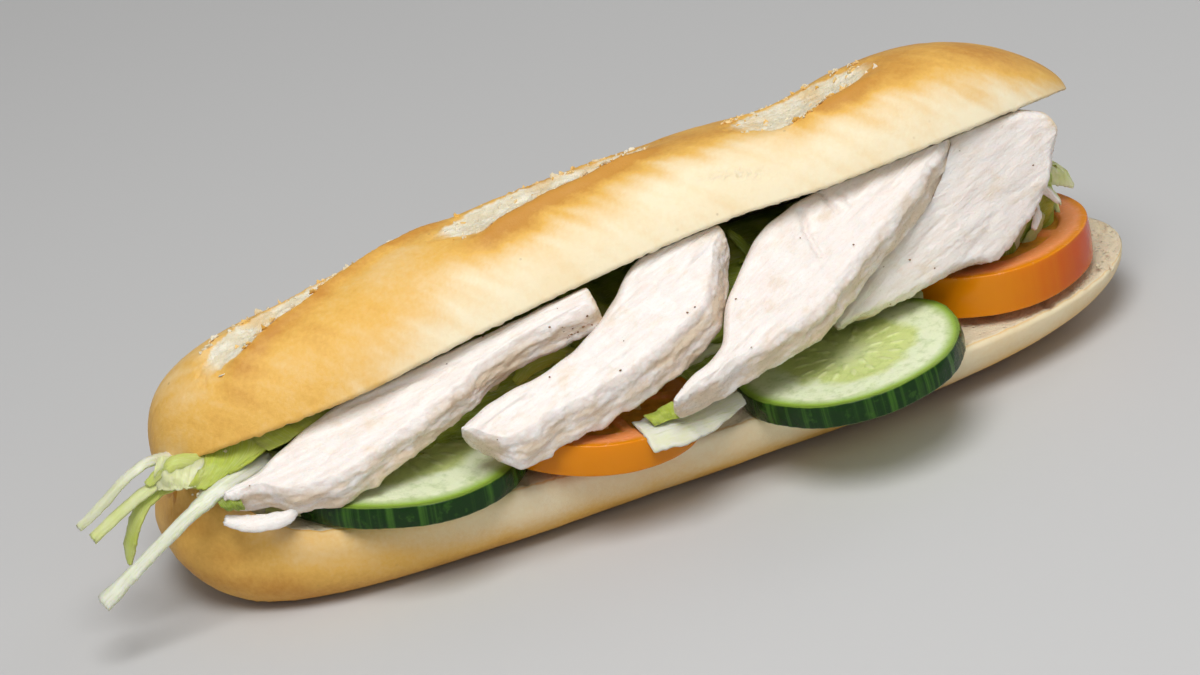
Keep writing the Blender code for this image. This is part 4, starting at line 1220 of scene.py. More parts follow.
def heap_shreds():
    """Cut shreds that stand out of the heap at the open back."""
    rng = random.Random(41)
    shreds = []
    for i in range(HEAP_SHREDS):
        x = -18.0 + 104.0 * (i + 0.5 * rng.random()) / HEAP_SHREDS
        u = x / ROLL_HALF_LENGTH
        y = base_axis(u) + ROLL_HALF_DEPTH * plan_share(u) - 5.0
        low, high = base_rim(u) + 2.0, lid_underside(x, y) - 2.0
        z = low + (high - low) * rng.random()
        reach = rng.uniform(4.0, 8.5)
        lean = rng.uniform(-6.0, 6.0)
        droop = rng.uniform(-2.5, 1.0)
        points = ((x - lean, y - 9.0, z), (x - 0.3 * lean, y - 1.0, z + 0.4),
                  (x + 0.4 * lean, y + 0.45 * reach, z), (x + lean, y + reach, max(z + droop, low)))
        shreds.append((points, rng.uniform(2.6, 4.4), rng.uniform(0.9, 1.3), rng.uniform(-0.6, 0.9)))
    return shreds


def shred_shape(index, rng):
    """One loose shred to be strewn over the heap: a curled ribbon lying near the origin."""
    length = rng.uniform(12.0, 22.0)
    bend = rng.uniform(-0.9, 0.9)
    arch = rng.uniform(0.8, 2.4)
    points = []
    for i in range(5):
        f = i / 4 - 0.5
        points.append((length * f, bend * length * 0.5 * f * f * 2 + rng.uniform(-0.8, 0.8),
                       arch * (1 - 4 * f * f) - 0.4 + rng.uniform(-0.3, 0.3)))
    width = rng.uniform(2.0, 4.2)
    return ribbon("shred_%d" % index, points, [width * k for k in (0.6, 1.0, 1.1, 0.9, 0.5)], 0.7,
                  tilt=rng.uniform(-0.8, 0.8), steps=5, across=4, ripple=0.5, jag=0.2, seed=index * 3.3)


# Materials

DARK_SPECK = (0.30, 0.17, 0.06)
PALE_SHRED = (0.92, 0.87, 0.72)
MEAT_CREVICE = (0.62, 0.47, 0.36)
PEPPER_TONES = ((0.10, 0.035, 0.012), (0.33, 0.17, 0.06))
TOMATO_FIBRE = (0.86, 0.42, 0.22)
TOMATO_SEED_TONES = ((0.72, 0.42, 0.10), (0.85, 0.62, 0.24))


class Nodes:
    """A short way to write a node material."""

    def __init__(self, name):
        self.material = bpy.data.materials.new(name)
        self.material.use_nodes = True
        self.tree = self.material.node_tree
        self.shader = self.tree.nodes["Principled BSDF"]

    def add(self, kind, inputs=(), **settings):
        node = self.tree.nodes.new("ShaderNode" + kind)
        for key, value in settings.items():
            setattr(node, key, value)
        for key, value in dict(inputs).items():
            self.put(node, key, value)
        return node

    def put(self, node, key, value):
        socket = node.inputs[key]
        if isinstance(value, bpy.types.NodeSocket):
            self.tree.links.new(value, socket)
        elif hasattr(value, "__len__"):
            socket.default_value = (*value, 1.0)[:len(socket.default_value)]
        else:
            socket.default_value = value

    def attribute(self, name, vector=False):
        node = self.add("Attribute", attribute_name=name)
        return node.outputs["Vector" if vector else "Fac"]

    def place(self):
        return self.add("TexCoord").outputs["Object"]

    def scaled(self, vector, scale):
        node = self.add("Mapping", {"Vector": vector, "Scale": scale})
        return node.outputs["Vector"]

    def noise(self, vector, scale, detail=4.0, roughness=0.55, distortion=0.0):
        inputs = {"Vector": vector, "Scale": scale, "Detail": detail, "Roughness": roughness,
                  "Distortion": distortion}
        return self.add("TexNoise", inputs).outputs["Fac"]

    def cells(self, vector, scale):
        return self.add("TexVoronoi", {"Vector": vector, "Scale": scale}).outputs["Distance"]

    def remap(self, value, low, high, to_low=0.0, to_high=1.0):
        node = self.add("MapRange", {"Value": value, "From Min": low, "From Max": high, "To Min": to_low,
                                     "To Max": to_high}, interpolation_type="SMOOTHSTEP")
        return node.outputs["Result"]

    def maths(self, operation, a, b=0.0):
        return self.add("Math", {0: a, 1: b}, operation=operation).outputs[0]

    def times(self, a, b):
        return self.maths("MULTIPLY", a, b)

    def vary(self, value, cloud, amount):
        """Moves a value up and down with a noise."""
        return self.maths("ADD", value, self.times(self.maths("SUBTRACT", cloud, 0.5), amount))

    def mix(self, factor, a, b):
        return self.add("Mix", {0: factor, 6: a, 7: b}, data_type="RGBA").outputs[2]

    def tinge(self, colour, other, factor, share):
        """Turns a colour part of the way to another one where the factor is high."""
        return self.mix(self.times(factor, share), colour, other)

    def on_disc(self):
        """Coordinates on a round slice, the same without depth, and the distance from its middle."""
        disc = self.attribute("disc", vector=True)
        flat = self.add("VectorMath", {0: disc, 1: (1.0, 1.0, 0.0)}, operation="MULTIPLY").outputs["Vector"]
        return disc, flat, self.add("VectorMath", {0: flat}, operation="LENGTH").outputs["Value"]

    def ramp(self, value, stops):
        node = self.add("ValToRGB", {"Fac": value})
        ramp = node.color_ramp
        ramp.elements[0].position, ramp.elements[0].color = stops[0][0], (*stops[0][1], 1.0)
        ramp.elements[1].position, ramp.elements[1].color = stops[-1][0], (*stops[-1][1], 1.0)
        for position, colour in stops[1:-1]:
            ramp.elements.new(position).color = (*colour, 1.0)
        return node.outputs["Color"]

    def bump(self, height, distance, strength=1.0, normal=None):
        inputs = {"Height": height, "Distance": distance, "Strength": strength}
        if normal is not None:
            inputs["Normal"] = normal
        return self.add("Bump", inputs).outputs["Normal"]

    def finish(self, colour, roughness, normal=None, **constants):
        self.put(self.shader, "Base Color", colour)
        self.put(self.shader, "Roughness", roughness)
        if normal is not None:
            self.put(self.shader, "Normal", normal)
        for key, value in constants.items():
            self.shader.inputs[key.replace("_", " ")].default_value = value
        return self.material


def shade(colour, share):
    """A darker or lighter tone of a colour."""
    return tuple(min(1.0, share * c) for c in colour)


def bread_material(settings):
    """Crust from pale cream to golden, torn slashes and open crumb, by the mesh's own attributes. The bake
    attribute also holds painted shade on the lower belly and along the lid's ridge, and the crumb is darkened
    in its pores as painted shade.
    """
    n = Nodes("bread_crust_and_crumb")
    place = n.place()
    bake, crumb, slash = n.attribute("bake"), n.attribute("crumb"), n.attribute("slash")
    mottle = n.noise(place, 90.0, 5.0, 0.6)
    fine = n.noise(place, 900.0, 4.0, 0.6)
    toned = n.vary(n.vary(bake, mottle, 0.42), fine, 0.26)
    straw = tuple(0.62 * p + 0.38 * g for p, g in zip(settings.pale, settings.golden))
    crust = n.ramp(toned, ((0.0, settings.pale), (0.30, straw), (0.72, settings.golden),
                           (1.0, settings.brown)))
    blush = n.remap(n.noise(place, 34.0, 3.0, 0.5), 0.45, 0.75)
    crust = n.tinge(crust, settings.golden, blush, 0.20)
    specks = n.remap(n.cells(place, 210.0), 0.10, 0.05)
    sparse = n.remap(n.noise(place, 60.0, 2.0, 0.5), 0.55, 0.66)
    crust = n.tinge(crust, DARK_SPECK, n.times(specks, sparse), 0.40)
    shreds = n.noise(n.scaled(place, (0.45, 1.0, 1.0)), 420.0, 5.0, 0.7)
    torn = n.mix(n.remap(shreds, 0.40, 0.66), settings.torn, PALE_SHRED)
    torn = n.tinge(torn, settings.golden, n.remap(mottle, 0.46, 0.68), 0.50)
    pore = n.remap(n.cells(place, 620.0), 0.30, 0.02)
    # The crumb is darker in its pores: painted shade in the holes
    inside = n.tinge(settings.crumb, shade(settings.crumb, 0.62), pore, 0.35)
    inside = n.mix(n.remap(mottle, 0.35, 0.75), inside, shade(settings.crumb, 1.08))
    colour = n.mix(n.remap(slash, 0.25, 0.75), crust, torn)
    colour = n.mix(n.remap(crumb, 0.35, 0.65), colour, inside)
    roughness = n.maths("ADD", n.remap(toned, 0.0, 1.0, 0.66, 0.50), n.times(slash, 0.2))
    leather = n.noise(place, 620.0, 6.0, 0.68)
    shallow = n.bump(leather, 0.00028, 0.7)
    grit = n.times(n.noise(place, 1300.0, 4.0, 0.7), n.maths("ADD", slash, crumb))
    normal = n.bump(grit, 0.0007, 0.8, shallow)
    normal = n.bump(n.times(n.times(pore, crumb), -1.0), 0.0006, 0.7, normal)
    return n.finish(colour, roughness, normal, Subsurface_Weight=0.10, Subsurface_Radius=(1.0, 0.55, 0.25),
                    Subsurface_Scale=0.0022, Specular_IOR_Level=0.3)


def chicken_material(settings):
    """Moist white meat: fibres, tan and pink tones by the mesh's own coordinates along the grain."""
    n = Nodes("cooked_chicken")
    grain = n.attribute("grain", vector=True)
    browned = n.attribute("browned")
    fibre = n.noise(n.scaled(grain, (0.15, 0.85, 0.5)), 1.0, 6.0, 0.62, 0.5)
    lumps = n.noise(n.scaled(grain, (0.12, 0.16, 0.16)), 1.0, 4.0, 0.6)
    fine = n.noise(n.scaled(grain, (1.2, 2.2, 2.0)), 1.0, 5.0, 0.65)
    colour = n.tinge(settings.meat, settings.pink, n.remap(fibre, 0.42, 0.68), 0.60)
    colour = n.tinge(colour, settings.tan, n.remap(lumps, 0.52, 0.72), 0.50)
    patches = n.noise(n.scaled(grain, (0.09, 0.22, 0.22)), 1.0, 5.0, 0.65)
    colour = n.tinge(colour, settings.tan, browned, n.remap(patches, 0.38, 0.58))
    colour = n.tinge(colour, MEAT_CREVICE, n.remap(fine, 0.60, 0.72), 0.30)
    height = n.maths("ADD", n.times(fibre, 0.8), n.times(fine, 0.40))
    curd = n.noise(n.scaled(grain, (0.55, 0.8, 0.8)), 1.0, 6.0, 0.7)
    height = n.maths("ADD", height, n.times(curd, 0.9))
    normal = n.bump(height, 0.00055, 0.6)
    roughness = n.remap(fine, 0.35, 0.7, 0.24, 0.48)
    return n.finish(colour, roughness, normal, Subsurface_Weight=0.32, Subsurface_Radius=(1.0, 0.62, 0.45),
                    Subsurface_Scale=0.0028, Specular_IOR_Level=0.5, Coat_Weight=0.18, Coat_Roughness=0.18)


def pepper_material():
    """Dark and light brown chips of pepper."""
    n = Nodes("cracked_pepper")
    tone = n.noise(n.place(), 900.0, 3.0, 0.6)
    colour = n.mix(tone, *PEPPER_TONES)
    return n.finish(colour, 0.6, n.bump(tone, 0.0002, 0.5), Specular_IOR_Level=0.3)


def cucumber_material(settings):
    """Pale flesh round a wet seed zone, and a streaked dark skin, by the coordinates on the disc."""
    n = Nodes("cucumber_flesh_and_skin")
    disc, flat, length = n.on_disc()
    rind, seeds = n.attribute("rind"), n.attribute("seeds")
    radius = n.vary(length, n.noise(flat, 3.0, 5.0, 0.6), 0.42)
    radius = n.mix(n.remap(length, 0.80, 0.92), radius, length)
    face = n.ramp(radius, ((0.0, settings.core), (0.34, settings.seed_zone), (0.54, settings.seed_zone),
                           (0.64, settings.flesh), (0.86, settings.flesh), (0.955, settings.edge),
                           (0.985, shade(settings.edge, 0.55))))
    rays = n.noise(n.scaled(disc, (9.0, 9.0, 1.0)), 1.0, 5.0, 0.65)
    face = n.tinge(face, shade(settings.edge, 0.8), n.remap(rays, 0.45, 0.7), 0.35)
    face = n.tinge(face, settings.seed, n.remap(seeds, 0.2, 0.8), 0.45)
    angle = n.add("VectorMath", {0: flat}, operation="NORMALIZE").outputs["Vector"]
    streak = n.noise(n.scaled(angle, (8.0, 8.0, 1.0)), 1.0, 4.0, 0.7)
    blotch = n.noise(n.place(), 420.0, 4.0, 0.6)
    hide = n.mix(n.remap(streak, 0.48, 0.66), settings.skin, settings.streak)
    hide = n.tinge(hide, settings.streak, n.remap(blotch, 0.55, 0.7), 0.5)
    colour = n.mix(rind, face, hide)
    roughness = n.mix(rind, (0.30, 0.30, 0.30), (0.22, 0.22, 0.22))
    fine = n.noise(n.place(), 1500.0, 5.0, 0.6)
    normal = n.bump(n.maths("ADD", fine, n.times(blotch, n.times(rind, 2.0))), 0.00018, 0.55)
    return n.finish(colour, roughness, normal, Subsurface_Weight=0.22, Subsurface_Radius=(0.6, 1.0, 0.3),
                    Subsurface_Scale=0.003, Specular_IOR_Level=0.22, Coat_Weight=0.04, Coat_Roughness=0.12)


def tomato_material(settings):
    """Streaked flesh, wet seed pockets, and a skin that ripens to red along the roll."""
    n = Nodes("tomato_flesh_and_skin")
    disc, flat, length = n.on_disc()
    rind, pocket = n.attribute("rind"), n.attribute("seeds")
    cloud = n.noise(flat, 5.0, 5.0, 0.6)
    wall = tuple(min(1.0, 1.12 * c + 0.03) for c in settings.flesh)
    flesh = n.ramp(n.vary(length, cloud, 0.07), (
        (0.0, settings.core), (0.30, settings.flesh), (0.78, settings.flesh), (0.90, wall),
        (0.965, settings.skin), (1.0, settings.skin)))
    streak = n.noise(n.scaled(disc, (14.0, 14.0, 1.0)), 1.0, 5.0, 0.7)
    flesh = n.tinge(flesh, TOMATO_FIBRE, n.remap(streak, 0.52, 0.7), 0.45)
    gel = n.mix(n.remap(cloud, 0.35, 0.7), settings.gel, shade(settings.gel, 0.7))
    colour = n.mix(n.remap(pocket, 0.25, 0.8), flesh, gel)
    along = n.add("SeparateXYZ", {0: n.place()}).outputs["X"]
    ripe = n.remap(n.maths("ADD", along, n.times(cloud, 0.016)), 0.076, 0.110)
    hide = n.mix(ripe, settings.skin, settings.skin_red)
    colour = n.mix(rind, colour, hide)
    fine = n.noise(n.place(), 1300.0, 5.0, 0.6)
    normal = n.bump(n.times(fine, n.maths("SUBTRACT", 1.0, rind)), 0.00025, 0.6)
    roughness = n.mix(rind, (0.26, 0.26, 0.26), (0.20, 0.20, 0.20))
    return n.finish(colour, roughness, normal, Subsurface_Weight=0.25, Subsurface_Radius=(1.0, 0.35, 0.12),
                    Subsurface_Scale=0.003, Specular_IOR_Level=0.22, Coat_Weight=0.06, Coat_Roughness=0.08)


def seed_material():
    """Pale glossy tomato seeds."""
    n = Nodes("tomato_seed")
    tone = n.noise(n.place(), 700.0, 3.0, 0.6)
    colour = n.mix(tone, *TOMATO_SEED_TONES)
    return n.finish(colour, 0.3, n.bump(tone, 0.0001, 0.4), Subsurface_Weight=0.2, Subsurface_Scale=0.002,
                    Coat_Weight=0.3, Coat_Roughness=0.1)


def lettuce_material(settings):
    """Crisp leaf from white rib to green blade by the tint, with veins along the run of each piece."""
    n = Nodes("lettuce_leaf_and_rib")
    place = n.place()
    tint, run = n.attribute("tint"), n.attribute("run", vector=True)
    cloud = n.noise(place, 170.0, 4.0, 0.6)
    colour = n.ramp(n.vary(tint, cloud, 0.45), ((0.0, settings.rib), (0.28, settings.pale),
                                                (0.62, settings.leaf), (1.0, settings.deep)))
    vein = n.noise(n.scaled(run, (0.10, 1.9, 1.0)), 1.0, 3.0, 0.5, 0.6)
    vein = n.remap(n.maths("ABSOLUTE", n.maths("SUBTRACT", vein, 0.5)), 0.035, 0.0)
    colour = n.tinge(colour, settings.pale, vein, 0.38)
    streak = n.noise(n.scaled(run, (0.35, 5.0, 1.0)), 1.0, 4.0, 0.6)
    colour = n.tinge(colour, settings.rib, n.remap(streak, 0.5, 0.75), 0.22)
    height = n.maths("ADD", n.times(vein, 0.5), n.times(streak, 0.5))
    height = n.maths("ADD", height, n.times(cloud, 0.5))
    normal = n.bump(height, 0.0003, 0.5)
    return n.finish(colour, n.remap(cloud, 0.3, 0.7, 0.30, 0.45), normal, Subsurface_Weight=0.35,
                    Subsurface_Radius=(0.7, 1.0, 0.25), Subsurface_Scale=0.003, Specular_IOR_Level=0.35,
                    Coat_Weight=0.05, Coat_Roughness=0.2)


# Settings

def colour(name, default, text):
    return FloatVectorProperty(name=name, description=text, subtype="COLOR", size=3, min=0.0, max=1.0,
                               default=default)


class SANDWICH_PG_bread(bpy.types.PropertyGroup):
    pale: colour("Pale crust", (0.91, 0.80, 0.565), "Colour of the lightly baked flank")
    golden: colour("Golden crust", (0.80, 0.47, 0.105), "Colour of the baked top")
    brown: colour("Brown crust", (0.58, 0.27, 0.045), "Colour of the darkest crust")
    torn: colour("Torn crust", (0.80, 0.71, 0.51), "Colour inside the slashes")
    crumb: colour("Crumb", (0.80, 0.70, 0.50), "Colour of the cut faces")
    flakes: IntProperty(name="Flakes", description="Chips of crust along each slash", default=80, min=0,
                        max=120)
    seed: IntProperty(name="Seed", description="Where the chips fall", default=7, min=0)


class SANDWICH_PG_chicken(bpy.types.PropertyGroup):
    meat: colour("Meat", (0.92, 0.855, 0.81), "Colour of the white meat")
    pink: colour("Fibres", (0.87, 0.75, 0.68), "Colour between the fibres")
    tan: colour("Tan", (0.76, 0.60, 0.42), "Colour of the outer face")
    specks: IntProperty(name="Pepper specks", description="Specks on each slice", default=6, min=0, max=100)
    seed: IntProperty(name="Seed", description="Where the specks fall", default=5, min=0)


class SANDWICH_PG_cucumber(bpy.types.PropertyGroup):
    flesh: colour("Flesh", (0.80, 0.86, 0.60), "Colour of the firm flesh")
    core: colour("Core", (0.74, 0.80, 0.45), "Colour of the middle")
    seed_zone: colour("Seed zone", (0.64, 0.72, 0.28), "Colour of the wet zone round the seeds")
    seed: colour("Seeds", (0.74, 0.79, 0.44), "Colour of the seeds")
    edge: colour("Edge", (0.30, 0.46, 0.06), "Colour of the flesh next to the skin")
    skin: colour("Skin", (0.006, 0.034, 0.003), "Colour of the skin")
    streak: colour("Streaks", (0.045, 0.13, 0.012), "Colour of the streaks on the skin")


class SANDWICH_PG_tomato(bpy.types.PropertyGroup):
    flesh: colour("Flesh", (0.73, 0.245, 0.07), "Colour of the firm flesh")
    core: colour("Core", (0.74, 0.34, 0.16), "Colour of the middle")
    gel: colour("Gel", (0.72, 0.30, 0.03), "Colour of the seed pockets")
    skin: colour("Skin", (0.74, 0.245, 0.002), "Colour of the skin")
    skin_red: colour("Ripe skin", (0.64, 0.065, 0.002), "Colour of the riper side of the skin")
    seeds: IntProperty(name="Seeds", description="Seeds on each slice", default=14, min=0, max=100)


class SANDWICH_PG_lettuce(bpy.types.PropertyGroup):
    rib: colour("Rib", (0.77, 0.79, 0.66), "Colour of the thick white ribs")
    pale: colour("Pale leaf", (0.68, 0.74, 0.32), "Colour of the pale leaf")
    leaf: colour("Leaf", (0.50, 0.60, 0.08), "Colour of the green leaf")
    deep: colour("Deep green", (0.22, 0.30, 0.02), "Colour of the darkest leaf")
    density: FloatProperty(name="Shreds per area", default=SHRED_DENSITY, min=0.0,
                           description="Loose shreds on each square metre of the heap")
    seed: IntProperty(name="Seed", description="Where the shreds fall", default=SHRED_SEED, min=0)


class SANDWICH_PG_stage(bpy.types.PropertyGroup):
    floor: colour("Floor", (0.56, 0.56, 0.56), "Colour of the floor")
    key: FloatProperty(name="Key light", description="Power of the large light", unit="POWER", default=8.4,
                       min=0.0)
    fill: FloatProperty(name="Fill light", description="Power of the light near the camera", unit="POWER",
                        default=1.1, min=0.0)
    world: FloatProperty(name="Surroundings", description="Brightness of the surroundings", default=0.28,
                         min=0.0)


# Operators

class SANDWICH_OT_bread(bpy.types.Operator):
    """Build the bread roll with its slashes, crumb and flakes"""
    bl_idname = "sandwich.bread"
    bl_label = "Bread roll"
    bl_options = {"REGISTER", "UNDO"}

    def execute(self, context):
        settings = context.scene.sandwich_bread
        material = bread_material(settings)
        roll, looks = base_half("bread_roll_dressed")
        known = [(v.co.copy(), look) for v, look in zip(roll.data.vertices, looks)]
        for make in (hinge_wall, lid_half):
            part, looks = make("part")
            known += [(v.co.copy(), look) for v, look in zip(part.data.vertices, looks)]
            combine(roll, part, "UNION")
        tree = kdtree.KDTree(len(known))
        for i, (place, _) in enumerate(known):
            tree.insert(place, i)
        tree.balance()
        found = [known[tree.find(v.co)[1]][1] for v in roll.data.vertices]
        for k, name in enumerate(("bake", "crumb", "slash")):
            store(roll, name, [look[k] for look in found])
        settle(roll, material, "bread", "bread_roll")
        flakes = crust_flakes(settings.flakes, settings.seed)
        settle(flakes, material, "bread")
        loose = crumbs("bread_crumbs", CRUMB_SPOTS, CRUMB_SEED, CRUMB_SIZES)
        for name, value in (("bake", 0.15), ("crumb", 1.0), ("slash", 0.3)):
            store(loose, name, [value] * len(loose.data.vertices))
        settle(loose, material, "bread")
        return {"FINISHED"}


class SANDWICH_OT_chicken(bpy.types.Operator):
    """Build the chicken slices, the loose shreds and the pepper specks"""
    bl_idname = "sandwich.chicken"
    bl_label = "Chicken"
    bl_options = {"REGISTER", "UNDO"}

    def execute(self, context):
        settings = context.scene.sandwich_chicken
        material = chicken_material(settings)
        rng = random.Random(settings.seed)
        specks = []
        for k, spec in enumerate(CHICKEN):
            piece = chicken_slice(spec)
            combine(piece, plain_roll("cutter", FIT_GAP), "DIFFERENCE")
            for other in CHICKEN[:k]:
                combine(piece, chicken_slice(other, FIT_GAP, fine=False), "DIFFERENCE")
            largest_part(piece)
            along, across, facing, start = chicken_axes(spec)
            grain, browned = [], []
            for v in piece.data.vertices:
                d = v.co / MM - start
                s, w, h = d.dot(along), d.dot(across), d.dot(facing)
                grain.append((s + 40.0 * spec["seed"], w, h))
                low = smooth(spec["lower"], s)
                outer = step(low + 5.4, low + 3.4, w) * step(-0.6, -2.4, h)
                last = spec["upper"][-1][0]
                ends = step(last - 1.2, last - 0.2, s)
                browned.append(min(1.0, 0.85 * outer + ends))
            piece.name = spec["name"] + "_dressed"
            store(piece, "grain", grain, "FLOAT_VECTOR")
            store(piece, "browned", browned)
            settle(piece, material, "chicken", spec["name"])
            for _ in range(settings.specks):
                s = rng.uniform(spec["upper"][0][0] + 3, spec["upper"][-1][0] - 3)
                low, up = smooth(spec["lower"], s), smooth(spec["upper"], s)
                w = low + (up - low) * rng.uniform(0.15, 0.9)
                specks.append((start + along * s + across * w + facing * 0.12, (0.0, 0.0, 0.0), 1))
        along, across, facing, start = chicken_axes(CHICKEN[0])
        for _ in range(TIP_SPECKS):
            spot = start + along * rng.uniform(78, 86) + across * rng.uniform(-1.2, 1.5)
            specks.append((spot - facing * rng.uniform(1, 5), (0.2, 0.2, 0.2), 1))
        for name, parts in (("chicken_flap", (CHICKEN_FLAP,)), ("chicken_shreds", CHICKEN_SHREDS)):
            made = [ribbon("strip", points, widths, thickness, tilt, ripple=0.3, jag=0.14, seed=3.0 * i)
                    for i, (points, widths, thickness, tilt) in enumerate(parts)]
            piece = join(name, made)
            store(piece, "grain", [v.co / MM for v in piece.data.vertices], "FLOAT_VECTOR")
            store(piece, "browned", [0.0] * len(piece.data.vertices))
            settle(piece, material, "chicken")
        pepper = crumbs("pepper_specks", specks, SPECK_SEED, SPECK_SIZES)
        settle(pepper, pepper_material(), "chicken")
        return {"FINISHED"}


class SANDWICH_OT_cucumber(bpy.types.Operator):
    """Build the cucumber slices"""
    bl_idname = "sandwich.cucumber"
    bl_label = "Cucumber"
    bl_options = {"REGISTER", "UNDO"}

    def execute(self, context):
        material = cucumber_material(context.scene.sandwich_cucumber)
        for spec in CUCUMBER:
            piece = round_slice(spec, "cucumber")
            combine(piece, plain_roll("cutter", FIT_GAP), "DIFFERENCE")
            largest_part(piece)
            mark_disc(piece, spec, "cucumber")
            piece.name = spec["name"] + "_dressed"
            settle(piece, material, "cucumber", spec["name"], crisp=50)
        return {"FINISHED"}


class SANDWICH_OT_tomato(bpy.types.Operator):
    """Build the tomato slices with their seeds"""
    bl_idname = "sandwich.tomato"
    bl_label = "Tomato"
    bl_options = {"REGISTER", "UNDO"}

    def execute(self, context):
        settings = context.scene.sandwich_tomato
        material, seeds = tomato_material(settings), seed_material()
        for k, spec in enumerate(TOMATO):
            piece = round_slice(spec, "tomato")
            combine(piece, plain_roll("cutter", FIT_GAP), "DIFFERENCE")
            for other in CUCUMBER:
                combine(piece, plain_disc(other, FIT_GAP), "DIFFERENCE")
            largest_part(piece)
            mark_disc(piece, spec, "tomato")
            piece.name = spec["name"] + "_dressed"
            settle(piece, material, "tomato", spec["name"], crisp=50)
            settle(tomato_seeds(spec, settings.seeds, 31 + k), seeds, "tomato")
        return {"FINISHED"}


def strew_tree(shapes, material):
    """Geometry nodes that strew the loose shreds over the heap."""
    tree = bpy.data.node_groups.new("Strewn shreds", "GeometryNodeTree")
    face = tree.interface
    face.new_socket("Geometry", in_out="INPUT", socket_type="NodeSocketGeometry")
    ids = {}
    for name, kind, default in (("Density", "NodeSocketFloat", SHRED_DENSITY),
                                ("Seed", "NodeSocketInt", SHRED_SEED),
                                ("Smallest", "NodeSocketFloat", SHRED_SCALES[0]),
                                ("Largest", "NodeSocketFloat", SHRED_SCALES[1])):
        socket = face.new_socket(name, in_out="INPUT", socket_type=kind)
        socket.default_value = default
        ids[name] = socket.identifier
    face.new_socket("Geometry", in_out="OUTPUT", socket_type="NodeSocketGeometry")
    new, link = tree.nodes.new, tree.links.new
    start, end = new("NodeGroupInput"), new("NodeGroupOutput")
    spread = new("GeometryNodeDistributePointsOnFaces")
    show = new("GeometryNodeInputNamedAttribute")
    show.inputs["Name"].default_value = "show"
    times = new("ShaderNodeMath")
    times.operation = "MULTIPLY"
    link(start.outputs["Density"], times.inputs[0])
    link(show.outputs["Attribute"], times.inputs[1])
    link(start.outputs["Geometry"], spread.inputs["Mesh"])
    link(times.outputs[0], spread.inputs["Density"])
    link(start.outputs["Seed"], spread.inputs["Seed"])
    stock = new("GeometryNodeCollectionInfo")
    stock.inputs["Collection"].default_value = shapes
    stock.inputs["Separate Children"].default_value = True
    stock.inputs["Reset Children"].default_value = True
    instance = new("GeometryNodeInstanceOnPoints")
    instance.inputs["Pick Instance"].default_value = True
    link(spread.outputs["Points"], instance.inputs["Points"])
    link(stock.outputs[0], instance.inputs["Instance"])
    turn = new("FunctionNodeRandomValue")
    turn.data_type = "FLOAT_VECTOR"
    turn.inputs[0].default_value = (-SHRED_LEAN, -SHRED_LEAN, -math.pi)
    turn.inputs[1].default_value = (SHRED_LEAN, SHRED_LEAN, math.pi)
    rotate = new("FunctionNodeRotateRotation")
    rotate.rotation_space = "LOCAL"
    link(spread.outputs["Rotation"], rotate.inputs[0])
    link(turn.outputs[0], rotate.inputs[1])
    link(rotate.outputs[0], instance.inputs["Rotation"])
    size = new("FunctionNodeRandomValue")
    link(start.outputs["Smallest"], size.inputs[2])
    link(start.outputs["Largest"], size.inputs[3])
    link(size.outputs[1], instance.inputs["Scale"])
    tone = new("FunctionNodeRandomValue")
    tone.inputs[2].default_value, tone.inputs[3].default_value = SHRED_TINTS
    keep = new("GeometryNodeStoreNamedAttribute")
    keep.domain = "INSTANCE"
    keep.data_type = "FLOAT"
    keep.inputs["Name"].default_value = "tint"
    link(instance.outputs["Instances"], keep.inputs["Geometry"])
    link(tone.outputs[1], keep.inputs["Value"])
    real = new("GeometryNodeRealizeInstances")
    link(keep.outputs["Geometry"], real.inputs["Geometry"])
    dress = new("GeometryNodeSetMaterial")
    dress.inputs["Material"].default_value = material
    link(real.outputs["Geometry"], dress.inputs["Geometry"])
    link(dress.outputs["Geometry"], end.inputs["Geometry"])
    return tree, ids


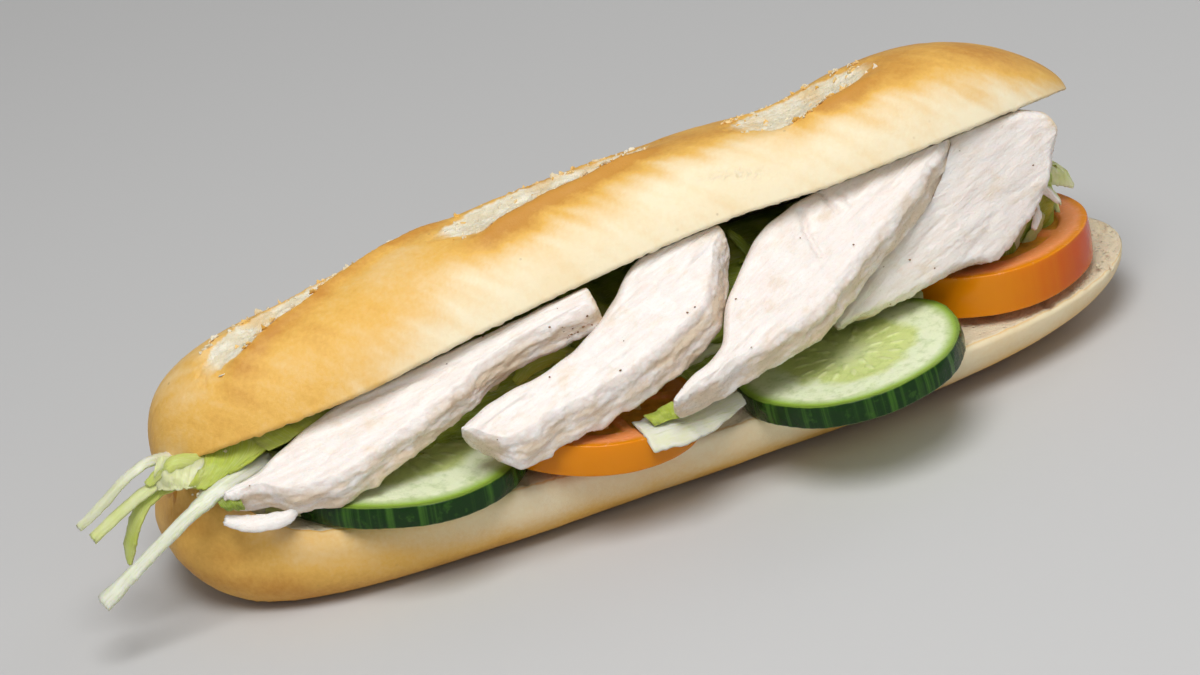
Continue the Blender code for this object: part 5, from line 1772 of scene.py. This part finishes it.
class SANDWICH_OT_lettuce(bpy.types.Operator):
    """Build the heap of shredded lettuce, its loose strips and the leaf pieces"""
    bl_idname = "sandwich.lettuce"
    bl_label = "Lettuce"
    bl_options = {"REGISTER", "UNDO"}

    def execute(self, context):
        settings = context.scene.sandwich_lettuce
        material = lettuce_material(settings)
        core = heap_core("shredded_lettuce_dressed")
        core.data.materials.append(material)
        show = []
        for v in core.data.vertices:
            x, y, z = v.co / MM
            back = step(9.0, 13.0, y) * step(-26.0, -18.0, x) * step(90.0, 84.0, x)
            front = step(-4.0, -8.0, y) * step(88.0, 80.0, x) * step(-98.0, -94.0, x)
            right = step(84.0, 90.0, x)
            show.append(max(back, front, right) * step(14.0, 18.0, z))
        store(core, "show", show)
        shapes = bpy.data.collections.new("shred_shapes")
        rng = random.Random(settings.seed + 50)
        for i in range(SHRED_KINDS):
            shape = shred_shape(i, rng)
            context.scene.collection.objects.unlink(shape)
            shapes.objects.link(shape)
        tree, ids = strew_tree(shapes, material)
        mod = core.modifiers.new("strew", "NODES")
        mod.node_group = tree
        mod[ids["Density"]] = settings.density
        mod[ids["Seed"]] = settings.seed
        loose = add_object("lettuce_shreds", evaluated_mesh(core))
        core.modifiers.remove(mod)
        for shape in list(shapes.objects):
            drop(shape)
        bpy.data.collections.remove(shapes)
        bpy.data.node_groups.remove(tree)
        settle(loose, material, "lettuce")
        store(core, "tint", [0.80 + 0.45 * rough(*(v.co * 160.0), 3) for v in core.data.vertices])
        run = [(v.co.x / MM, v.co.z / MM, v.co.y / MM) for v in core.data.vertices]
        store(core, "run", run, "FLOAT_VECTOR")
        settle(core, material, "lettuce", "shredded_lettuce")

        strips, tints = [], []
        for i, (points, widths, thickness, tilt, tint, rib) in enumerate(STRIPS):
            made = ribbon("strip", points, widths, thickness, tilt, rib=rib, jag=0.16, seed=2.7 * i)
            tints += [tint] * len(made.data.vertices)
            strips.append(made)
        for i, (points, width, thickness, tilt) in enumerate(heap_shreds()):
            made = ribbon("strip", points, width, thickness * 0.8, tilt, steps=10, jag=0.2, seed=40 + 1.9 * i)
            tints += [(0.2, 0.55, 0.85, 0.4)[i % 4]] * len(made.data.vertices)
            strips.append(made)
        for i, (rows, thickness, tint) in enumerate(LEAVES):
            made = sheet("strip", rows, thickness, 5.0 + 3.1 * i)
            tints += [tint] * len(made.data.vertices)
            strips.append(made)
        piece = join("lettuce_strips", strips, "run")
        store(piece, "tint", tints)
        settle(piece, material, "lettuce")

        points, widths, thickness, tilt = FRONT_LEAF
        leaf = ribbon("lettuce_leaf_dressed", points, widths, thickness, tilt, steps=24, across=20,
                      ripple=0.35, jag=0.10, seed=77.0)
        store(leaf, "tint", [0.02 + 0.10 * rough(*(v.co * 200.0), 3) for v in leaf.data.vertices])
        settle(leaf, material, "lettuce", "lettuce_leaf")
        return {"FINISHED"}


class SANDWICH_OT_stage(bpy.types.Operator):
    """Build the floor, the lights and the camera"""
    bl_idname = "sandwich.stage"
    bl_label = "Stage"
    bl_options = {"REGISTER", "UNDO"}

    def execute(self, context):
        settings = context.scene.sandwich_stage
        mesh = bpy.data.meshes.new("floor")
        reach = FLOOR_REACH
        mesh.from_pydata([(-reach, -reach, 0), (reach, -reach, 0), (reach, reach, 0), (-reach, reach, 0)], [],
                         [(0, 1, 2, 3)])
        n = Nodes("plain_floor")
        soft = n.noise(n.place(), 6.0, 3.0, 0.5)
        tone = n.mix(soft, settings.floor, shade(settings.floor, 0.985))
        mesh.materials.append(n.finish(tone, 0.7, Specular_IOR_Level=0.2))
        add_object("floor", mesh)
        for name, place, size, watts in (("key", KEY_PLACE, KEY_SIZE, settings.key),
                                         ("fill", FILL_PLACE, FILL_SIZE, settings.fill),
                                         ("rim", RIM_PLACE, RIM_SIZE, settings.fill * RIM_SHARE)):
            lamp = bpy.data.lights.new(name, "AREA")
            lamp.shape = "DISK"
            lamp.size = size
            lamp.energy = watts
            obj = add_object(name, lamp)
            obj.location = place
            obj.rotation_euler = (Vector(AIM) - Vector(place)).to_track_quat("-Z", "Y").to_euler()
        world = bpy.data.worlds.new("surroundings")
        world.use_nodes = True
        back = world.node_tree.nodes["Background"]
        back.inputs["Color"].default_value = (1.0, 0.99, 0.97, 1.0)
        back.inputs["Strength"].default_value = settings.world
        context.scene.world = world
        context.scene.view_settings.view_transform = "Standard"
        lens = bpy.data.cameras.new("camera")
        lens.lens, lens.sensor_width, lens.sensor_fit = FOCAL, SENSOR_WIDTH, "HORIZONTAL"
        lens.clip_start, lens.clip_end = CLIP
        camera = add_object("camera", lens)
        turn = Matrix((VIEW_RIGHT, VIEW_UP, VIEW_BACK)).transposed().to_4x4()
        camera.matrix_world = Matrix.Translation(EYE) @ turn
        context.scene.camera = camera
        return {"FINISHED"}


class SANDWICH_PT_panel(bpy.types.Panel):
    bl_label = "Submarine sandwich"
    bl_idname = "SANDWICH_PT_panel"
    bl_space_type = "VIEW_3D"
    bl_region_type = "UI"
    bl_category = "Sandwich"

    def draw(self, context):
        for name, operator in STEPS:
            box = self.layout.box()
            group = getattr(context.scene, "sandwich_" + name)
            for key in group.__annotations__:
                box.prop(group, key)
            box.operator(operator.bl_idname)


GROUPS = {"bread": SANDWICH_PG_bread, "chicken": SANDWICH_PG_chicken, "cucumber": SANDWICH_PG_cucumber,
          "tomato": SANDWICH_PG_tomato, "lettuce": SANDWICH_PG_lettuce, "stage": SANDWICH_PG_stage}
STEPS = (("bread", SANDWICH_OT_bread), ("chicken", SANDWICH_OT_chicken), ("cucumber", SANDWICH_OT_cucumber),
         ("tomato", SANDWICH_OT_tomato), ("lettuce", SANDWICH_OT_lettuce), ("stage", SANDWICH_OT_stage))
CLASSES = (*GROUPS.values(), *(operator for _, operator in STEPS), SANDWICH_PT_panel)


def register():
    for cls in CLASSES:
        bpy.utils.register_class(cls)
    for name, group in GROUPS.items():
        setattr(bpy.types.Scene, "sandwich_" + name, PointerProperty(type=group))


def unregister():
    for name in GROUPS:
        delattr(bpy.types.Scene, "sandwich_" + name)
    for cls in reversed(CLASSES):
        bpy.utils.unregister_class(cls)


def main():
    register()
    for name, _ in STEPS:
        getattr(bpy.ops.sandwich, name)()


if __name__ == "__main__":
    main()
